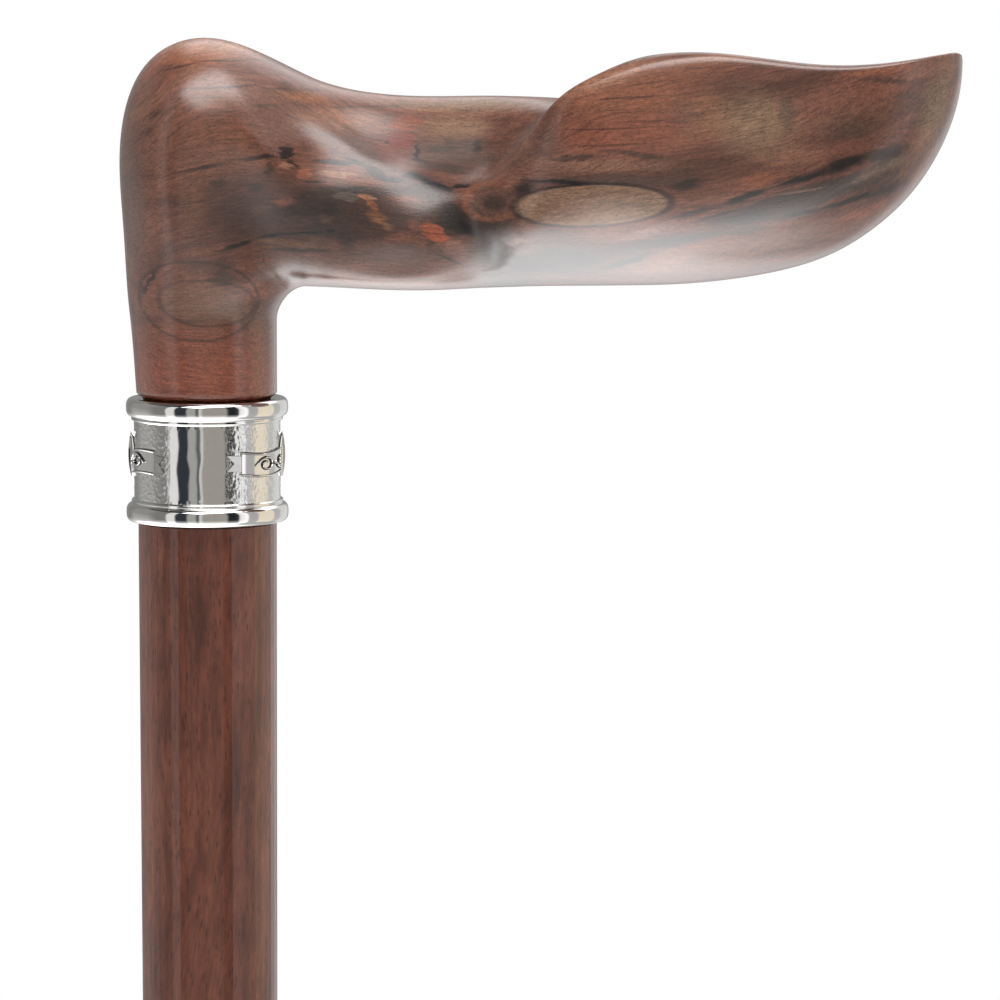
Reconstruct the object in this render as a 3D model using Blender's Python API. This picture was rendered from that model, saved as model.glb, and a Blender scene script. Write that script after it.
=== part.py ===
"""Walking cane with a carved palm grip for the right hand, a polished collar, a tapered wooden shaft
and a rubber tip.

The cane stands upright. The origin is on the shaft's axis, on the ground under the tip. The grip runs
towards +X, and the side that takes the heel of the palm faces -Y.
"""

import math

import bmesh
import bpy
import numpy as np

# Whole cane
OVERALL_HEIGHT = 0.914
SEAT_GAP = 0.0003

# Shaft
SHAFT_TOP_DIAMETER = 0.0224
SHAFT_FOOT_DIAMETER = 0.0180
SHAFT_FOOT_CHAMFER = 0.0010
SHAFT_SPIGOT_LENGTH = 0.0110
SHAFT_SPIGOT_CHAMFER = 0.0006

# Collar, a thin ring with a round bead along each rim
COLLAR_HEIGHT = 0.0200
COLLAR_WALL = 0.0012
COLLAR_STEP = 0.0006
BEAD_HEIGHT = 0.0030
BEAD_PROUD = 0.0013
BEAD_MEETS_LEDGE = 62
LEDGE_HEIGHT = 0.0006
LEDGE_PROUD = 0.0005

# Rubber tip and the steel washer in its socket
TIP_FLOOR = 0.0090
TIP_SOCKET_DEPTH = 0.0340
TIP_WALL = 0.0032
TIP_BASE_DIAMETER = 0.0370
TIP_BASE_HEIGHT = 0.0070
TIP_EDGE_ROUNDING = 0.0008
TIP_FLARE_HEIGHT = 0.0100
TIP_FLARE_REACH = 0.0035
TIP_LIP_ROUNDING = 0.0014
TIP_RIB_PROUD = 0.0010
TIP_RIB_HEIGHT = 0.0026
TIP_RIB_COUNT = 3
TREAD_DEPTH = 0.0012
TREAD_WIDTH = 0.0016
TREAD_PITCH = 0.0036
TREAD_CENTRE_RADIUS = 0.0050
TREAD_COUNT = 3
WASHER_THICKNESS = 0.0012
WASHER_HOLE_DIAMETER = 0.0060

# Hanger bolt and threaded insert that join the handle to the shaft
BOLT_DIAMETER = 0.0080
BOLT_IN_SHAFT = 0.0450
BOLT_IN_HANDLE = 0.0200
BOLT_POINT_LENGTH = 0.0050
BOLT_POINT_DIAMETER = 0.0024
INSERT_WALL = 0.0020
INSERT_LENGTH = 0.0180
INSERT_FLANGE_DIAMETER = 0.0155
INSERT_FLANGE_THICKNESS = 0.0015
BORE_END_ROOM = 0.0030

# Handle: heights are over the seat where the neck meets the collar, reaches are from the shaft's axis
NECK_DIAMETER = 0.0228
NECK_EDGE_CHAMFER = 0.0005
HANDLE_HEIGHT = 0.0579
HEAD_OVERHANG = 0.0137
HEAD_WIDTH = 0.0292
THROAT_HEIGHT = 0.0122
THROAT_RADIUS = 0.0050
GRIP_REACH = 0.1211
GRIP_TOP = 0.0484
FINGER_SIDE = 0.0138
WING_TOP = 0.0572
WING_FLARE = 0.0264
WING_TIP_SIDE = 0.0070
WING_TIP_HEIGHT = 0.0539
STERN_START = 0.0720
# How the stern closes on the wing's tip: 1 is an ellipse, and less is blunter
HULL_CLOSING = 0.93
TOP_CLOSING = 0.42

# Facets
TURNED_SIDES = 48
TIP_SIDES = 40
INSERT_SIDES = 32
BOLT_SIDES = 24
BEAD_POINTS = 9
NECK_RINGS = 4
HEAD_RINGS = 18
GRIP_RINGS = 28
STERN_RINGS = 17
PALM_POINTS = 11
RIM_POINTS = 4
WALL_POINTS = 6
QUARTER_POINTS = 8

CIRCLE_FULLNESS = 0.5523

# Sizes that follow from the ones above
SHAFT_TOP_RADIUS = SHAFT_TOP_DIAMETER / 2
SHAFT_FOOT_RADIUS = SHAFT_FOOT_DIAMETER / 2
NECK_RADIUS = NECK_DIAMETER / 2
COLLAR_RADIUS = SHAFT_TOP_RADIUS + COLLAR_STEP
COLLAR_BORE_RADIUS = COLLAR_RADIUS - COLLAR_WALL
SPIGOT_RADIUS = COLLAR_BORE_RADIUS - SEAT_GAP
BOLT_RADIUS = BOLT_DIAMETER / 2
INSERT_RADIUS = BOLT_RADIUS + SEAT_GAP + INSERT_WALL
INSERT_FLANGE_RADIUS = INSERT_FLANGE_DIAMETER / 2
TIP_SOCKET_RADIUS = SHAFT_FOOT_RADIUS + SEAT_GAP

HANDLE_SEAT_Z = OVERALL_HEIGHT - HANDLE_HEIGHT
COLLAR_TOP_Z = HANDLE_SEAT_Z - SEAT_GAP
COLLAR_FOOT_Z = COLLAR_TOP_Z - COLLAR_HEIGHT
SHAFT_SHOULDER_Z = COLLAR_FOOT_Z - SEAT_GAP
SHAFT_TOP_Z = SHAFT_SHOULDER_Z + SHAFT_SPIGOT_LENGTH
NECK_END_Z = SHAFT_TOP_Z + SEAT_GAP
WASHER_FOOT_Z = TIP_FLOOR + SEAT_GAP
SHAFT_FOOT_Z = WASHER_FOOT_Z + WASHER_THICKNESS + SEAT_GAP
TIP_TOP_Z = TIP_FLOOR + TIP_SOCKET_DEPTH
INSERT_FOOT_Z = NECK_END_Z + SEAT_GAP
INSERT_TOP_Z = INSERT_FOOT_Z + INSERT_LENGTH
BOLT_TOP_Z = INSERT_FOOT_Z + BOLT_IN_HANDLE
BOLT_FOOT_Z = SHAFT_TOP_Z - BOLT_IN_SHAFT

# The throat is the round inner corner between neck and grip; its centre is the pivot of the head's rings
PIVOT_X = NECK_RADIUS + THROAT_RADIUS
NECK_RUN = THROAT_HEIGHT
HEAD_RUN = 0.062
GRIP_RUN = GRIP_REACH - PIVOT_X


def material(name, colour, roughness, metallic=0.0):
    """A plain finish in the piece's own colour, given as linear red, green and blue."""
    made = bpy.data.materials.new(name)
    made.use_nodes = True
    shader = made.node_tree.nodes["Principled BSDF"]
    shader.inputs["Base Color"].default_value = (*colour, 1.0)
    shader.inputs["Roughness"].default_value = roughness
    shader.inputs["Metallic"].default_value = metallic
    return made


def add_object(name, bm, finish, sharp_degrees=35):
    """Turns a bmesh into a smooth-shaded object of the scene."""
    bmesh.ops.recalc_face_normals(bm, faces=bm.faces)
    mesh = bpy.data.meshes.new(name)
    bm.to_mesh(mesh)
    bm.free()
    mesh.materials.append(finish)
    mesh.shade_smooth()
    mesh.set_sharp_from_angle(angle=math.radians(sharp_degrees))
    made = bpy.data.objects.new(name, mesh)
    bpy.context.scene.collection.objects.link(made)
    return made


def arc(centre, radii, start_degrees, end_degrees, count):
    """Points round part of an ellipse in the radius and height plane, both ends included."""
    angles = np.radians(np.linspace(start_degrees, end_degrees, count))
    return [(centre[0] + radii[0] * math.cos(a), centre[1] + radii[1] * math.sin(a)) for a in angles]


def turned(name, profile, finish, sides=TURNED_SIDES):
    """A lathe-turned piece: the closed outline of (radius, height) points is spun round the Z axis."""
    bm = bmesh.new()
    corners = [bm.verts.new((radius, 0.0, height)) for radius, height in profile]
    edges = [bm.edges.new(pair) for pair in zip(corners, corners[1:])]
    if min(profile[0][0], profile[-1][0]) > 0:
        edges.append(bm.edges.new((corners[-1], corners[0])))
    bmesh.ops.spin(
        bm, geom=corners + edges, cent=(0, 0, 0), axis=(0, 0, 1), angle=math.tau, steps=sides, use_merge=True
    )
    bmesh.ops.remove_doubles(bm, verts=bm.verts, dist=1e-7)
    return add_object(name, bm, finish)


def smooth_line(*knots):
    """A curve through (place, value) knots with a steady bend, as a bent batten gives. Its ends are free."""
    place, value = np.array(sorted(knots)).T
    step = np.diff(place)
    slope = np.diff(value) / step
    count = len(place)
    rows = np.zeros((count, count))
    right = np.zeros(count)
    rows[0, 0] = rows[-1, -1] = 1.0
    for i in range(1, count - 1):
        rows[i, i - 1 : i + 2] = step[i - 1], 2 * (step[i - 1] + step[i]), step[i]
        right[i] = 6 * (slope[i] - slope[i - 1])
    bend = np.linalg.solve(rows, right)

    def at(s):
        i = int(np.clip(np.searchsorted(place, s) - 1, 0, count - 2))
        a, b = (place[i + 1] - s) / step[i], (s - place[i]) / step[i]
        sag = (a**3 - a) * bend[i] + (b**3 - b) * bend[i + 1]
        return float(a * value[i] + b * value[i + 1] + sag * step[i] ** 2 / 6)

    return at


def bezier(p0, p1, p2, p3, count):
    """Points of a cubic curve, its first end included and its last end left out."""
    t = np.arange(count)[:, None] / count
    return (1 - t) ** 3 * p0 + 3 * (1 - t) ** 2 * t * p1 + 3 * (1 - t) * t**2 * p2 + t**3 * p3


def quarter(start, end, fullness, count):
    """A quarter round from start, where it runs sideways, to end, where it runs upright, or the other way."""
    across = np.array((end[0] - start[0], 0.0))
    along = np.array((0.0, end[1] - start[1]))
    return bezier(start, start + fullness * across, end - fullness * along, end, count)


def reverse_quarter(start, end, fullness, count):
    """A quarter round from start, where it runs upright, to end, where it runs sideways."""
    across = np.array((end[0] - start[0], 0.0))
    along = np.array((0.0, end[1] - start[1]))
    return bezier(start, start + fullness * along, end - fullness * across, end, count)


def on_neck(share):
    return (share - 1) * NECK_RUN


def on_head(degrees):
    return degrees / 90 * HEAD_RUN


def on_grip(share):
    return HEAD_RUN + share * GRIP_RUN


def stern_share(s):
    """How far a ring is along the stern, the wing's rounded end: 0 at its start and 1 at the tip."""
    start = (STERN_START - PIVOT_X) / GRIP_RUN
    share = (s - HEAD_RUN) / GRIP_RUN
    return float(np.clip((share - start) / (1 - start), 0.0, 1.0))


class GripLines:
    """The handle's character lines, each running the whole way from the seat on the collar to the wing's tip.

    Depth is measured in a ring's own plane from the pivot line outwards, which is upwards on the grip.
    """

    def __init__(self):
        head = HANDLE_HEIGHT - THROAT_HEIGHT
        back = PIVOT_X + HEAD_OVERHANG
        top = GRIP_TOP - THROAT_HEIGHT
        rim = WING_TOP - THROAT_HEIGHT
        keel = THROAT_RADIUS
        self.crown_depth = smooth_line(
            (on_neck(0), PIVOT_X + NECK_RADIUS),
            (on_neck(1), PIVOT_X + NECK_RADIUS + 0.37 * (HEAD_OVERHANG - NECK_RADIUS)),
            (on_head(16), 1.014 * back),
            (on_head(32), 1.174 * back),
            (on_head(40), 0.866 * head),
            (on_head(48), 0.970 * head),
            (on_head(56), 1.058 * head),
            (on_head(64), 1.086 * head),
            (on_head(72), 1.048 * head),
            (on_head(80), 0.958 * head),
            (on_head(90), 0.859 * head),
            (on_grip(0.05), 1.033 * top),
            (on_grip(0.11), 1.002 * top),
            (on_grip(0.18), 0.990 * top),
            (on_grip(0.28), 0.993 * top),
            (on_grip(0.38), 0.985 * top),
            (on_grip(0.55), 0.950 * top),
            (on_grip(0.75), 0.970 * top),
            (on_grip(0.88), 1.075 * top),
            (on_grip(0.94), 1.158 * top),
            (on_grip(1), 1.250 * top),
        )
        self.keel_depth = smooth_line(
            (on_neck(0), keel), (on_head(0), keel), (on_head(45), keel), (on_head(70), 1.05 * keel),
            (on_grip(0.02), 1.07 * keel), (on_grip(0.12), 0.99 * keel), (on_grip(0.20), 0.98 * keel),
            (on_grip(0.32), 1.09 * keel), (on_grip(0.45), 1.12 * keel), (on_grip(0.56), 1.14 * keel),
            (on_grip(0.66), 1.10 * keel), (on_grip(0.75), 0.95 * keel), (on_grip(0.81), 0.85 * keel),
            (on_grip(0.875), 0.88 * keel), (on_grip(0.935), 1.01 * keel), (on_grip(0.966), 1.26 * keel),
            (on_grip(1), 1.75 * keel),
        )
        self.rim_depth = smooth_line(
            (on_head(60), 0.900 * rim),
            (on_head(75), 0.780 * rim),
            (on_grip(0), 0.675 * rim),
            (on_grip(0.07), 0.578 * rim),
            (on_grip(0.14), 0.492 * rim),
            (on_grip(0.20), 0.466 * rim),
            (on_grip(0.25), 0.484 * rim),
            (on_grip(0.30), 0.555 * rim),
            (on_grip(0.34), 0.700 * rim),
            (on_grip(0.38), 0.822 * rim),
            (on_grip(0.43), 0.904 * rim),
            (on_grip(0.49), 0.970 * rim),
            (on_grip(0.57), 1.003 * rim),
            (on_grip(0.66), 0.990 * rim),
            (on_grip(0.78), 0.950 * rim),
            (on_grip(0.88), 0.950 * rim),
            (on_grip(0.94), 0.971 * rim),
            (on_grip(1), 1.008 * rim),
        )
        self.near_side = smooth_line(
            (on_neck(0), NECK_RADIUS),
            (on_neck(1), 1.02 * NECK_RADIUS),
            (on_head(35), 0.46 * HEAD_WIDTH),
            (on_head(60), 0.50 * HEAD_WIDTH),
            (on_grip(0), 0.49 * HEAD_WIDTH),
            (on_grip(0.13), 0.545 * WING_FLARE),
            (on_grip(0.22), 0.545 * WING_FLARE),
            (on_grip(0.25), 0.555 * WING_FLARE),
            (on_grip(0.275), 0.600 * WING_FLARE),
            (on_grip(0.30), 0.700 * WING_FLARE),
            (on_grip(0.33), 0.800 * WING_FLARE),
            (on_grip(0.37), 0.865 * WING_FLARE),
            (on_grip(0.43), 0.915 * WING_FLARE),
            (on_grip(0.52), 0.965 * WING_FLARE),
            (on_grip(0.64), 1.000 * WING_FLARE),
            (on_grip(1), 1.000 * WING_FLARE),
        )
        self.far_side = smooth_line(
            (on_neck(0), NECK_RADIUS),
            (on_neck(1), 1.02 * NECK_RADIUS),
            (on_head(35), 0.46 * HEAD_WIDTH),
            (on_head(60), 0.50 * HEAD_WIDTH),
            (on_grip(0), 1.02 * FINGER_SIDE),
            (on_grip(0.15), 0.98 * FINGER_SIDE),
            (on_grip(0.40), 1.00 * FINGER_SIDE),
            (on_grip(0.60), 1.04 * FINGER_SIDE),
            (on_grip(1), 1.00 * FINGER_SIDE),
        )
        # Where the crown, the keel and the widest points lie, as shares of the ring's width and height
        self.crown_across = smooth_line(
            (on_neck(0), 0.50), (on_head(65), 0.50), (on_head(90), 0.57), (on_grip(0.12), 0.70),
            (on_grip(0.28), 0.73), (on_grip(0.45), 0.75), (on_grip(0.70), 0.76), (on_grip(0.88), 0.70),
            (on_grip(1), 0.60),
        )
        self.keel_across = smooth_line(
            (on_neck(0), 0.50), (on_head(90), 0.50), (on_grip(0.20), 0.51), (on_grip(0.50), 0.60),
            (on_grip(0.80), 0.57), (on_grip(1), 0.50),
        )
        self.near_rise = smooth_line(
            (on_neck(0), 0.50), (on_head(30), 0.54), (on_head(60), 0.62), (on_head(90), 0.52),
            (on_grip(0.10), 0.46), (on_grip(0.20), 0.46), (on_grip(0.27), 0.54), (on_grip(0.33), 0.56),
            (on_grip(0.40), 0.49), (on_grip(0.60), 0.44), (on_grip(0.85), 0.48), (on_grip(1), 0.55),
        )
        self.far_rise = smooth_line(
            (on_neck(0), 0.50), (on_head(30), 0.54), (on_head(60), 0.62), (on_head(90), 0.56),
            (on_grip(0.20), 0.52), (on_grip(0.60), 0.56), (on_grip(1), 0.60),
        )
        # How square each quarter of the ring is: CIRCLE_FULLNESS is round, and more is squarer
        self.low_near_fullness = smooth_line(
            (on_neck(0), CIRCLE_FULLNESS), (on_head(0), CIRCLE_FULLNESS), (on_head(90), 0.60),
            (on_grip(0.25), 0.60), (on_grip(0.42), 0.57), (on_grip(1), CIRCLE_FULLNESS),
        )
        self.far_fullness = smooth_line(
            (on_neck(0), CIRCLE_FULLNESS), (on_head(0), CIRCLE_FULLNESS), (on_head(60), 0.58),
            (on_grip(0.30), 0.62), (on_grip(0.70), 0.60), (on_grip(1), CIRCLE_FULLNESS),
        )
        # The palm rest: how far it is carved, its climb to the rim in degrees, and the rim's edge rounding
        self.carving = smooth_line(
            (on_neck(0), 0.0), (on_head(58), 0.0), (on_head(66), 0.04), (on_head(75), 0.35),
            (on_head(84), 0.80), (on_grip(0.01), 0.98), (on_grip(0.05), 1.0), (on_grip(1), 1.0),
        )
        self.rim_climb = smooth_line(
            (on_head(60), -44), (on_grip(0), -42), (on_grip(0.08), -38), (on_grip(0.16), -36),
            (on_grip(0.23), -30), (on_grip(0.27), -14), (on_grip(0.30), 12), (on_grip(0.34), 38),
            (on_grip(0.40), 44), (on_grip(0.48), 36), (on_grip(0.60), 30), (on_grip(0.85), 26),
            (on_grip(1), 20),
        )
        self.rim_edge = smooth_line(
            (on_head(60), 0.0080), (on_grip(0.02), 0.0060), (on_grip(0.07), 0.0046), (on_grip(0.14), 0.0040),
            (on_grip(0.21), 0.0032), (on_grip(0.26), 0.0020), (on_grip(0.30), 0.0014), (on_grip(0.38), 0.0014),
            (on_grip(0.46), 0.0024), (on_grip(0.60), 0.0032), (on_grip(0.85), 0.0026), (on_grip(1), 0.0020),
        )
        self.rim_inset = smooth_line(
            (on_head(60), 0.0015), (on_grip(0.20), 0.0010), (on_grip(0.30), 0.0004), (on_grip(0.38), 0.0012),
            (on_grip(0.46), 0.0022), (on_grip(0.60), 0.0030), (on_grip(0.85), 0.0028), (on_grip(1), 0.0020),
        )


def grip_ring(lines, s):
    """One closed ring of (side, depth) points; side is negative towards the palm's heel."""
    fade = math.sqrt(max(0.0, 1 - stern_share(s) ** 2))
    carving = float(np.clip(lines.carving(s), 0.0, 1.0))
    rim_starts = on_head(60)
    tip_depth = WING_TIP_HEIGHT - THROAT_HEIGHT
    near = -WING_TIP_SIDE + (WING_TIP_SIDE - lines.near_side(s)) * fade
    far = -WING_TIP_SIDE + (WING_TIP_SIDE + lines.far_side(s)) * fade
    keel_depth = tip_depth + (lines.keel_depth(s) - tip_depth) * fade**HULL_CLOSING
    top_fade = fade**TOP_CLOSING
    crown_depth = tip_depth + (lines.crown_depth(s) - tip_depth) * top_fade
    rim_depth = tip_depth + (lines.rim_depth(max(s, rim_starts)) - tip_depth) * top_fade
    width = far - near
    crown = np.array((near + lines.crown_across(s) * width, crown_depth))
    keel = np.array((near + lines.keel_across(s) * width, keel_depth))
    near_top = crown_depth + (rim_depth - crown_depth) * carving
    near_wide = np.array((near, keel_depth + lines.near_rise(s) * (near_top - keel_depth)))
    far_wide = np.array((far, keel_depth + lines.far_rise(s) * (crown_depth - keel_depth)))

    plain = quarter(crown, near_wide, lines.far_fullness(s), PALM_POINTS + RIM_POINTS + WALL_POINTS)
    carved = palm_and_rim(lines, s, crown, near_wide, rim_depth, fade)
    top = plain + (carved - plain) * carving
    low_near = reverse_quarter(near_wide, keel, lines.low_near_fullness(s), QUARTER_POINTS)
    low_far = quarter(keel, far_wide, lines.far_fullness(s), QUARTER_POINTS)
    high_far = reverse_quarter(far_wide, crown, lines.far_fullness(s), QUARTER_POINTS)
    return np.concatenate([top, low_near, low_far, high_far])


def palm_and_rim(lines, s, crown, near_wide, rim_depth, fade):
    """The carved stretch of a ring: from the crown over the palm rest to the rim, and down the near wall."""
    shrink = max(fade, 0.05)
    edge = lines.rim_edge(s) * shrink
    rim = np.array((near_wide[0] + lines.rim_inset(s) * shrink, rim_depth))
    climb = math.radians(lines.rim_climb(s))
    arriving = np.array((-math.cos(climb), math.sin(climb)))
    leaving = near_wide - rim
    leaving = leaving / np.linalg.norm(leaving)
    rim_in, rim_out = rim - edge * arriving, rim + edge * leaving
    span = np.linalg.norm(rim_in - crown)
    palm = bezier(crown, crown + (-0.30 * span, 0.0), rim_in - 0.36 * span * arriving, rim_in, PALM_POINTS)
    turning = rim_in + 0.6 * (rim - rim_in), rim_out + 0.6 * (rim - rim_out)
    corner = bezier(rim_in, *turning, rim_out, RIM_POINTS)
    drop = near_wide[1] - rim_out[1]
    wall = bezier(
        rim_out, rim_out + 0.35 * abs(drop) * leaving, near_wide - (0.0, 0.4 * drop), near_wide, WALL_POINTS
    )
    return np.concatenate([palm, corner, wall])


def ring_in_space(ring, s):
    """Places a ring: level on the neck, fanned about the pivot through the head, upright on the grip."""
    side, depth = ring.T
    if s <= 0:
        x = PIVOT_X - depth
        z = np.full(len(ring), THROAT_HEIGHT + s)
    else:
        turn = math.radians(90) * min(s / HEAD_RUN, 1.0)
        forward = max(0.0, s - HEAD_RUN)
        x = PIVOT_X - depth * math.cos(turn) + forward
        z = THROAT_HEIGHT + depth * math.sin(turn)
    return np.stack([x, side, z + HANDLE_SEAT_Z], axis=1)


def level_ring(pattern, radius, z):
    """A round ring about the shaft's axis, with its points at the same bearings as the pattern's."""
    bearing = pattern / np.linalg.norm(pattern, axis=1)[:, None]
    return np.column_stack([bearing * radius, np.full(len(pattern), z)])


def grip_stations():
    """Where the rings lie along the handle; they crowd together towards the wing's tip."""
    stern = (STERN_START - PIVOT_X) / GRIP_RUN
    swing = np.sin(np.linspace(0, math.pi / 2, STERN_RINGS + 1))[1:-1]
    return np.concatenate([
        on_neck(np.linspace(0, 1, NECK_RINGS + 1))[:-1],
        on_head(np.linspace(0, 90, HEAD_RINGS + 1))[:-1],
        on_grip(np.linspace(0, stern, GRIP_RINGS + 1)),
        on_grip(stern + (1 - stern) * swing),
    ])


def loft(rings, start_point, end_point):
    """A closed skin over rings of equal count, with a fan of faces to a point at each end."""
    bm = bmesh.new()
    first = bm.verts.new(start_point)
    last = bm.verts.new(end_point)
    loops = [[bm.verts.new(p) for p in ring] for ring in rings]
    count = len(loops[0])
    for low, high in zip(loops, loops[1:]):
        for i in range(count):
            j = (i + 1) % count
            bm.faces.new((low[i], low[j], high[j], high[i]))
    for i in range(count):
        j = (i + 1) % count
        bm.faces.new((first, loops[0][j], loops[0][i]))
        bm.faces.new((last, loops[-1][i], loops[-1][j]))
    return bm


def palm_handle(finish):
    """The carved handle with the spigot under its neck and the stepped bore for the threaded insert."""
    lines = GripLines()
    stations = grip_stations()
    skin = [ring_in_space(grip_ring(lines, s), s) for s in stations]
    pattern = skin[0][:, :2]
    bore = INSERT_RADIUS + SEAT_GAP
    recess = INSERT_FLANGE_RADIUS + SEAT_GAP
    recess_z = INSERT_FOOT_Z + INSERT_FLANGE_THICKNESS + SEAT_GAP
    bore_end_z = BOLT_TOP_Z + BORE_END_ROOM
    chamfered = skin[0] + (0.0, 0.0, NECK_EDGE_CHAMFER)
    turned_end = [
        level_ring(pattern, bore, bore_end_z),
        level_ring(pattern, bore, recess_z),
        level_ring(pattern, recess, recess_z),
        level_ring(pattern, recess, NECK_END_Z),
        level_ring(pattern, SPIGOT_RADIUS, NECK_END_Z),
        level_ring(pattern, SPIGOT_RADIUS, HANDLE_SEAT_Z),
        level_ring(pattern, NECK_RADIUS - NECK_EDGE_CHAMFER, HANDLE_SEAT_Z),
        chamfered,
    ]
    tip = (GRIP_REACH, -WING_TIP_SIDE, HANDLE_SEAT_Z + WING_TIP_HEIGHT)
    return add_object("palm_handle", loft(turned_end + skin[1:], (0, 0, bore_end_z), tip), finish, 40)


def collar(finish):
    """The band, with a half-round bead and a low ledge at each rim; the ornament between them isn't solid."""
    bead = (BEAD_PROUD, BEAD_HEIGHT / 2)
    ledge = COLLAR_RADIUS + LEDGE_PROUD
    low_ledge_z = COLLAR_FOOT_Z + BEAD_HEIGHT
    high_ledge_z = COLLAR_TOP_Z - BEAD_HEIGHT
    points = [(COLLAR_BORE_RADIUS, COLLAR_FOOT_Z)]
    points += arc((COLLAR_RADIUS, COLLAR_FOOT_Z + BEAD_HEIGHT / 2), bead, -90, BEAD_MEETS_LEDGE, BEAD_POINTS)
    points += [
        (ledge, low_ledge_z),
        (ledge, low_ledge_z + LEDGE_HEIGHT),
        (COLLAR_RADIUS, low_ledge_z + LEDGE_HEIGHT),
        (COLLAR_RADIUS, high_ledge_z - LEDGE_HEIGHT),
        (ledge, high_ledge_z - LEDGE_HEIGHT),
        (ledge, high_ledge_z),
    ]
    points += arc((COLLAR_RADIUS, COLLAR_TOP_Z - BEAD_HEIGHT / 2), bead, -BEAD_MEETS_LEDGE, 90, BEAD_POINTS)
    points.append((COLLAR_BORE_RADIUS, COLLAR_TOP_Z))
    return turned("collar", points, finish)


def shaft(finish):
    """The tapered shaft, with the spigot that enters the collar and the bore for the hanger bolt."""
    bore = BOLT_RADIUS + SEAT_GAP
    bore_foot_z = BOLT_FOOT_Z - BORE_END_ROOM
    profile = [
        (0.0, SHAFT_FOOT_Z),
        (SHAFT_FOOT_RADIUS - SHAFT_FOOT_CHAMFER, SHAFT_FOOT_Z),
        (SHAFT_FOOT_RADIUS, SHAFT_FOOT_Z + SHAFT_FOOT_CHAMFER),
        (SHAFT_FOOT_RADIUS, TIP_TOP_Z),
        (SHAFT_TOP_RADIUS, SHAFT_SHOULDER_Z),
        (SPIGOT_RADIUS, SHAFT_SHOULDER_Z),
        (SPIGOT_RADIUS, SHAFT_TOP_Z - SHAFT_SPIGOT_CHAMFER),
        (SPIGOT_RADIUS - SHAFT_SPIGOT_CHAMFER, SHAFT_TOP_Z),
        (bore, SHAFT_TOP_Z),
        (bore, bore_foot_z),
        (0.0, bore_foot_z),
    ]
    return turned("shaft", profile, finish)


def hanger_bolt(finish):
    """The double-ended bolt: its lower end is pointed and held in the shaft, its upper end in the insert."""
    profile = [
        (0.0, BOLT_FOOT_Z),
        (BOLT_POINT_DIAMETER / 2, BOLT_FOOT_Z),
        (BOLT_RADIUS, BOLT_FOOT_Z + BOLT_POINT_LENGTH),
        (BOLT_RADIUS, BOLT_TOP_Z),
        (0.0, BOLT_TOP_Z),
    ]
    return turned("hanger_bolt", profile, finish, BOLT_SIDES)


def threaded_insert(finish):
    """The flanged brass sleeve that the bolt screws into."""
    bore = BOLT_RADIUS + SEAT_GAP
    flange_top_z = INSERT_FOOT_Z + INSERT_FLANGE_THICKNESS
    profile = [
        (bore, INSERT_FOOT_Z),
        (INSERT_FLANGE_RADIUS, INSERT_FOOT_Z),
        (INSERT_FLANGE_RADIUS, flange_top_z),
        (INSERT_RADIUS, flange_top_z),
        (INSERT_RADIUS, INSERT_TOP_Z),
        (bore, INSERT_TOP_Z),
    ]
    return turned("threaded_insert", profile, finish, INSERT_SIDES)


def tip_tread():
    """The underside of the rubber tip, from the centre outwards: flat rings with grooves between them."""
    points = [(0.0, 0.0)]
    for groove in range(TREAD_COUNT):
        inner = TREAD_CENTRE_RADIUS + groove * TREAD_PITCH
        outer = inner + TREAD_WIDTH
        points += [(inner, 0.0), (inner, TREAD_DEPTH), (outer, TREAD_DEPTH), (outer, 0.0)]
    return points


def tip_outside():
    """The outside of the rubber tip, from its base up: base, flare, ribbed sleeve and rounded lip."""
    sleeve = TIP_SOCKET_RADIUS + TIP_WALL
    edge = (TIP_EDGE_ROUNDING, TIP_EDGE_ROUNDING)
    edge_middle = TIP_BASE_DIAMETER / 2 - TIP_EDGE_ROUNDING
    flare = (TIP_FLARE_REACH, 0.9 * TIP_FLARE_HEIGHT)
    flare_top_z = TIP_BASE_HEIGHT + TIP_FLARE_HEIGHT
    lip = (TIP_LIP_ROUNDING, TIP_LIP_ROUNDING)
    lip_foot_z = TIP_TOP_Z - 2 * TIP_LIP_ROUNDING
    points = arc((edge_middle, TIP_EDGE_ROUNDING), edge, -90, 0, 4)
    points += arc((edge_middle, TIP_BASE_HEIGHT - TIP_EDGE_ROUNDING), edge, 0, 60, 3)
    points += arc((sleeve + TIP_FLARE_REACH, flare_top_z), flare, 250, 180, 5)
    for rib in range(TIP_RIB_COUNT):
        middle_z = flare_top_z + (lip_foot_z - flare_top_z) * (rib + 1) / (TIP_RIB_COUNT + 1)
        points += arc((sleeve, middle_z), (TIP_RIB_PROUD, TIP_RIB_HEIGHT / 2), -90, 90, 5)
    points += arc((sleeve - TIP_LIP_ROUNDING, TIP_TOP_Z - TIP_LIP_ROUNDING), lip, 0, 90, 4)
    return points


def rubber_tip(finish):
    """The non-slip rubber tip with the socket that the shaft's foot is pushed into."""
    socket = [(TIP_SOCKET_RADIUS, TIP_TOP_Z), (TIP_SOCKET_RADIUS, TIP_FLOOR), (0.0, TIP_FLOOR)]
    return turned("rubber_tip", tip_tread() + tip_outside() + socket, finish, TIP_SIDES)


def tip_washer(finish):
    """The steel washer at the bottom of the socket, which keeps the shaft from cutting through the rubber."""
    hole = WASHER_HOLE_DIAMETER / 2
    outside = TIP_SOCKET_RADIUS - SEAT_GAP
    top_z = WASHER_FOOT_Z + WASHER_THICKNESS
    profile = [(hole, WASHER_FOOT_Z), (outside, WASHER_FOOT_Z), (outside, top_z), (hole, top_z)]
    return turned("tip_washer", profile, finish, INSERT_SIDES)


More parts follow.
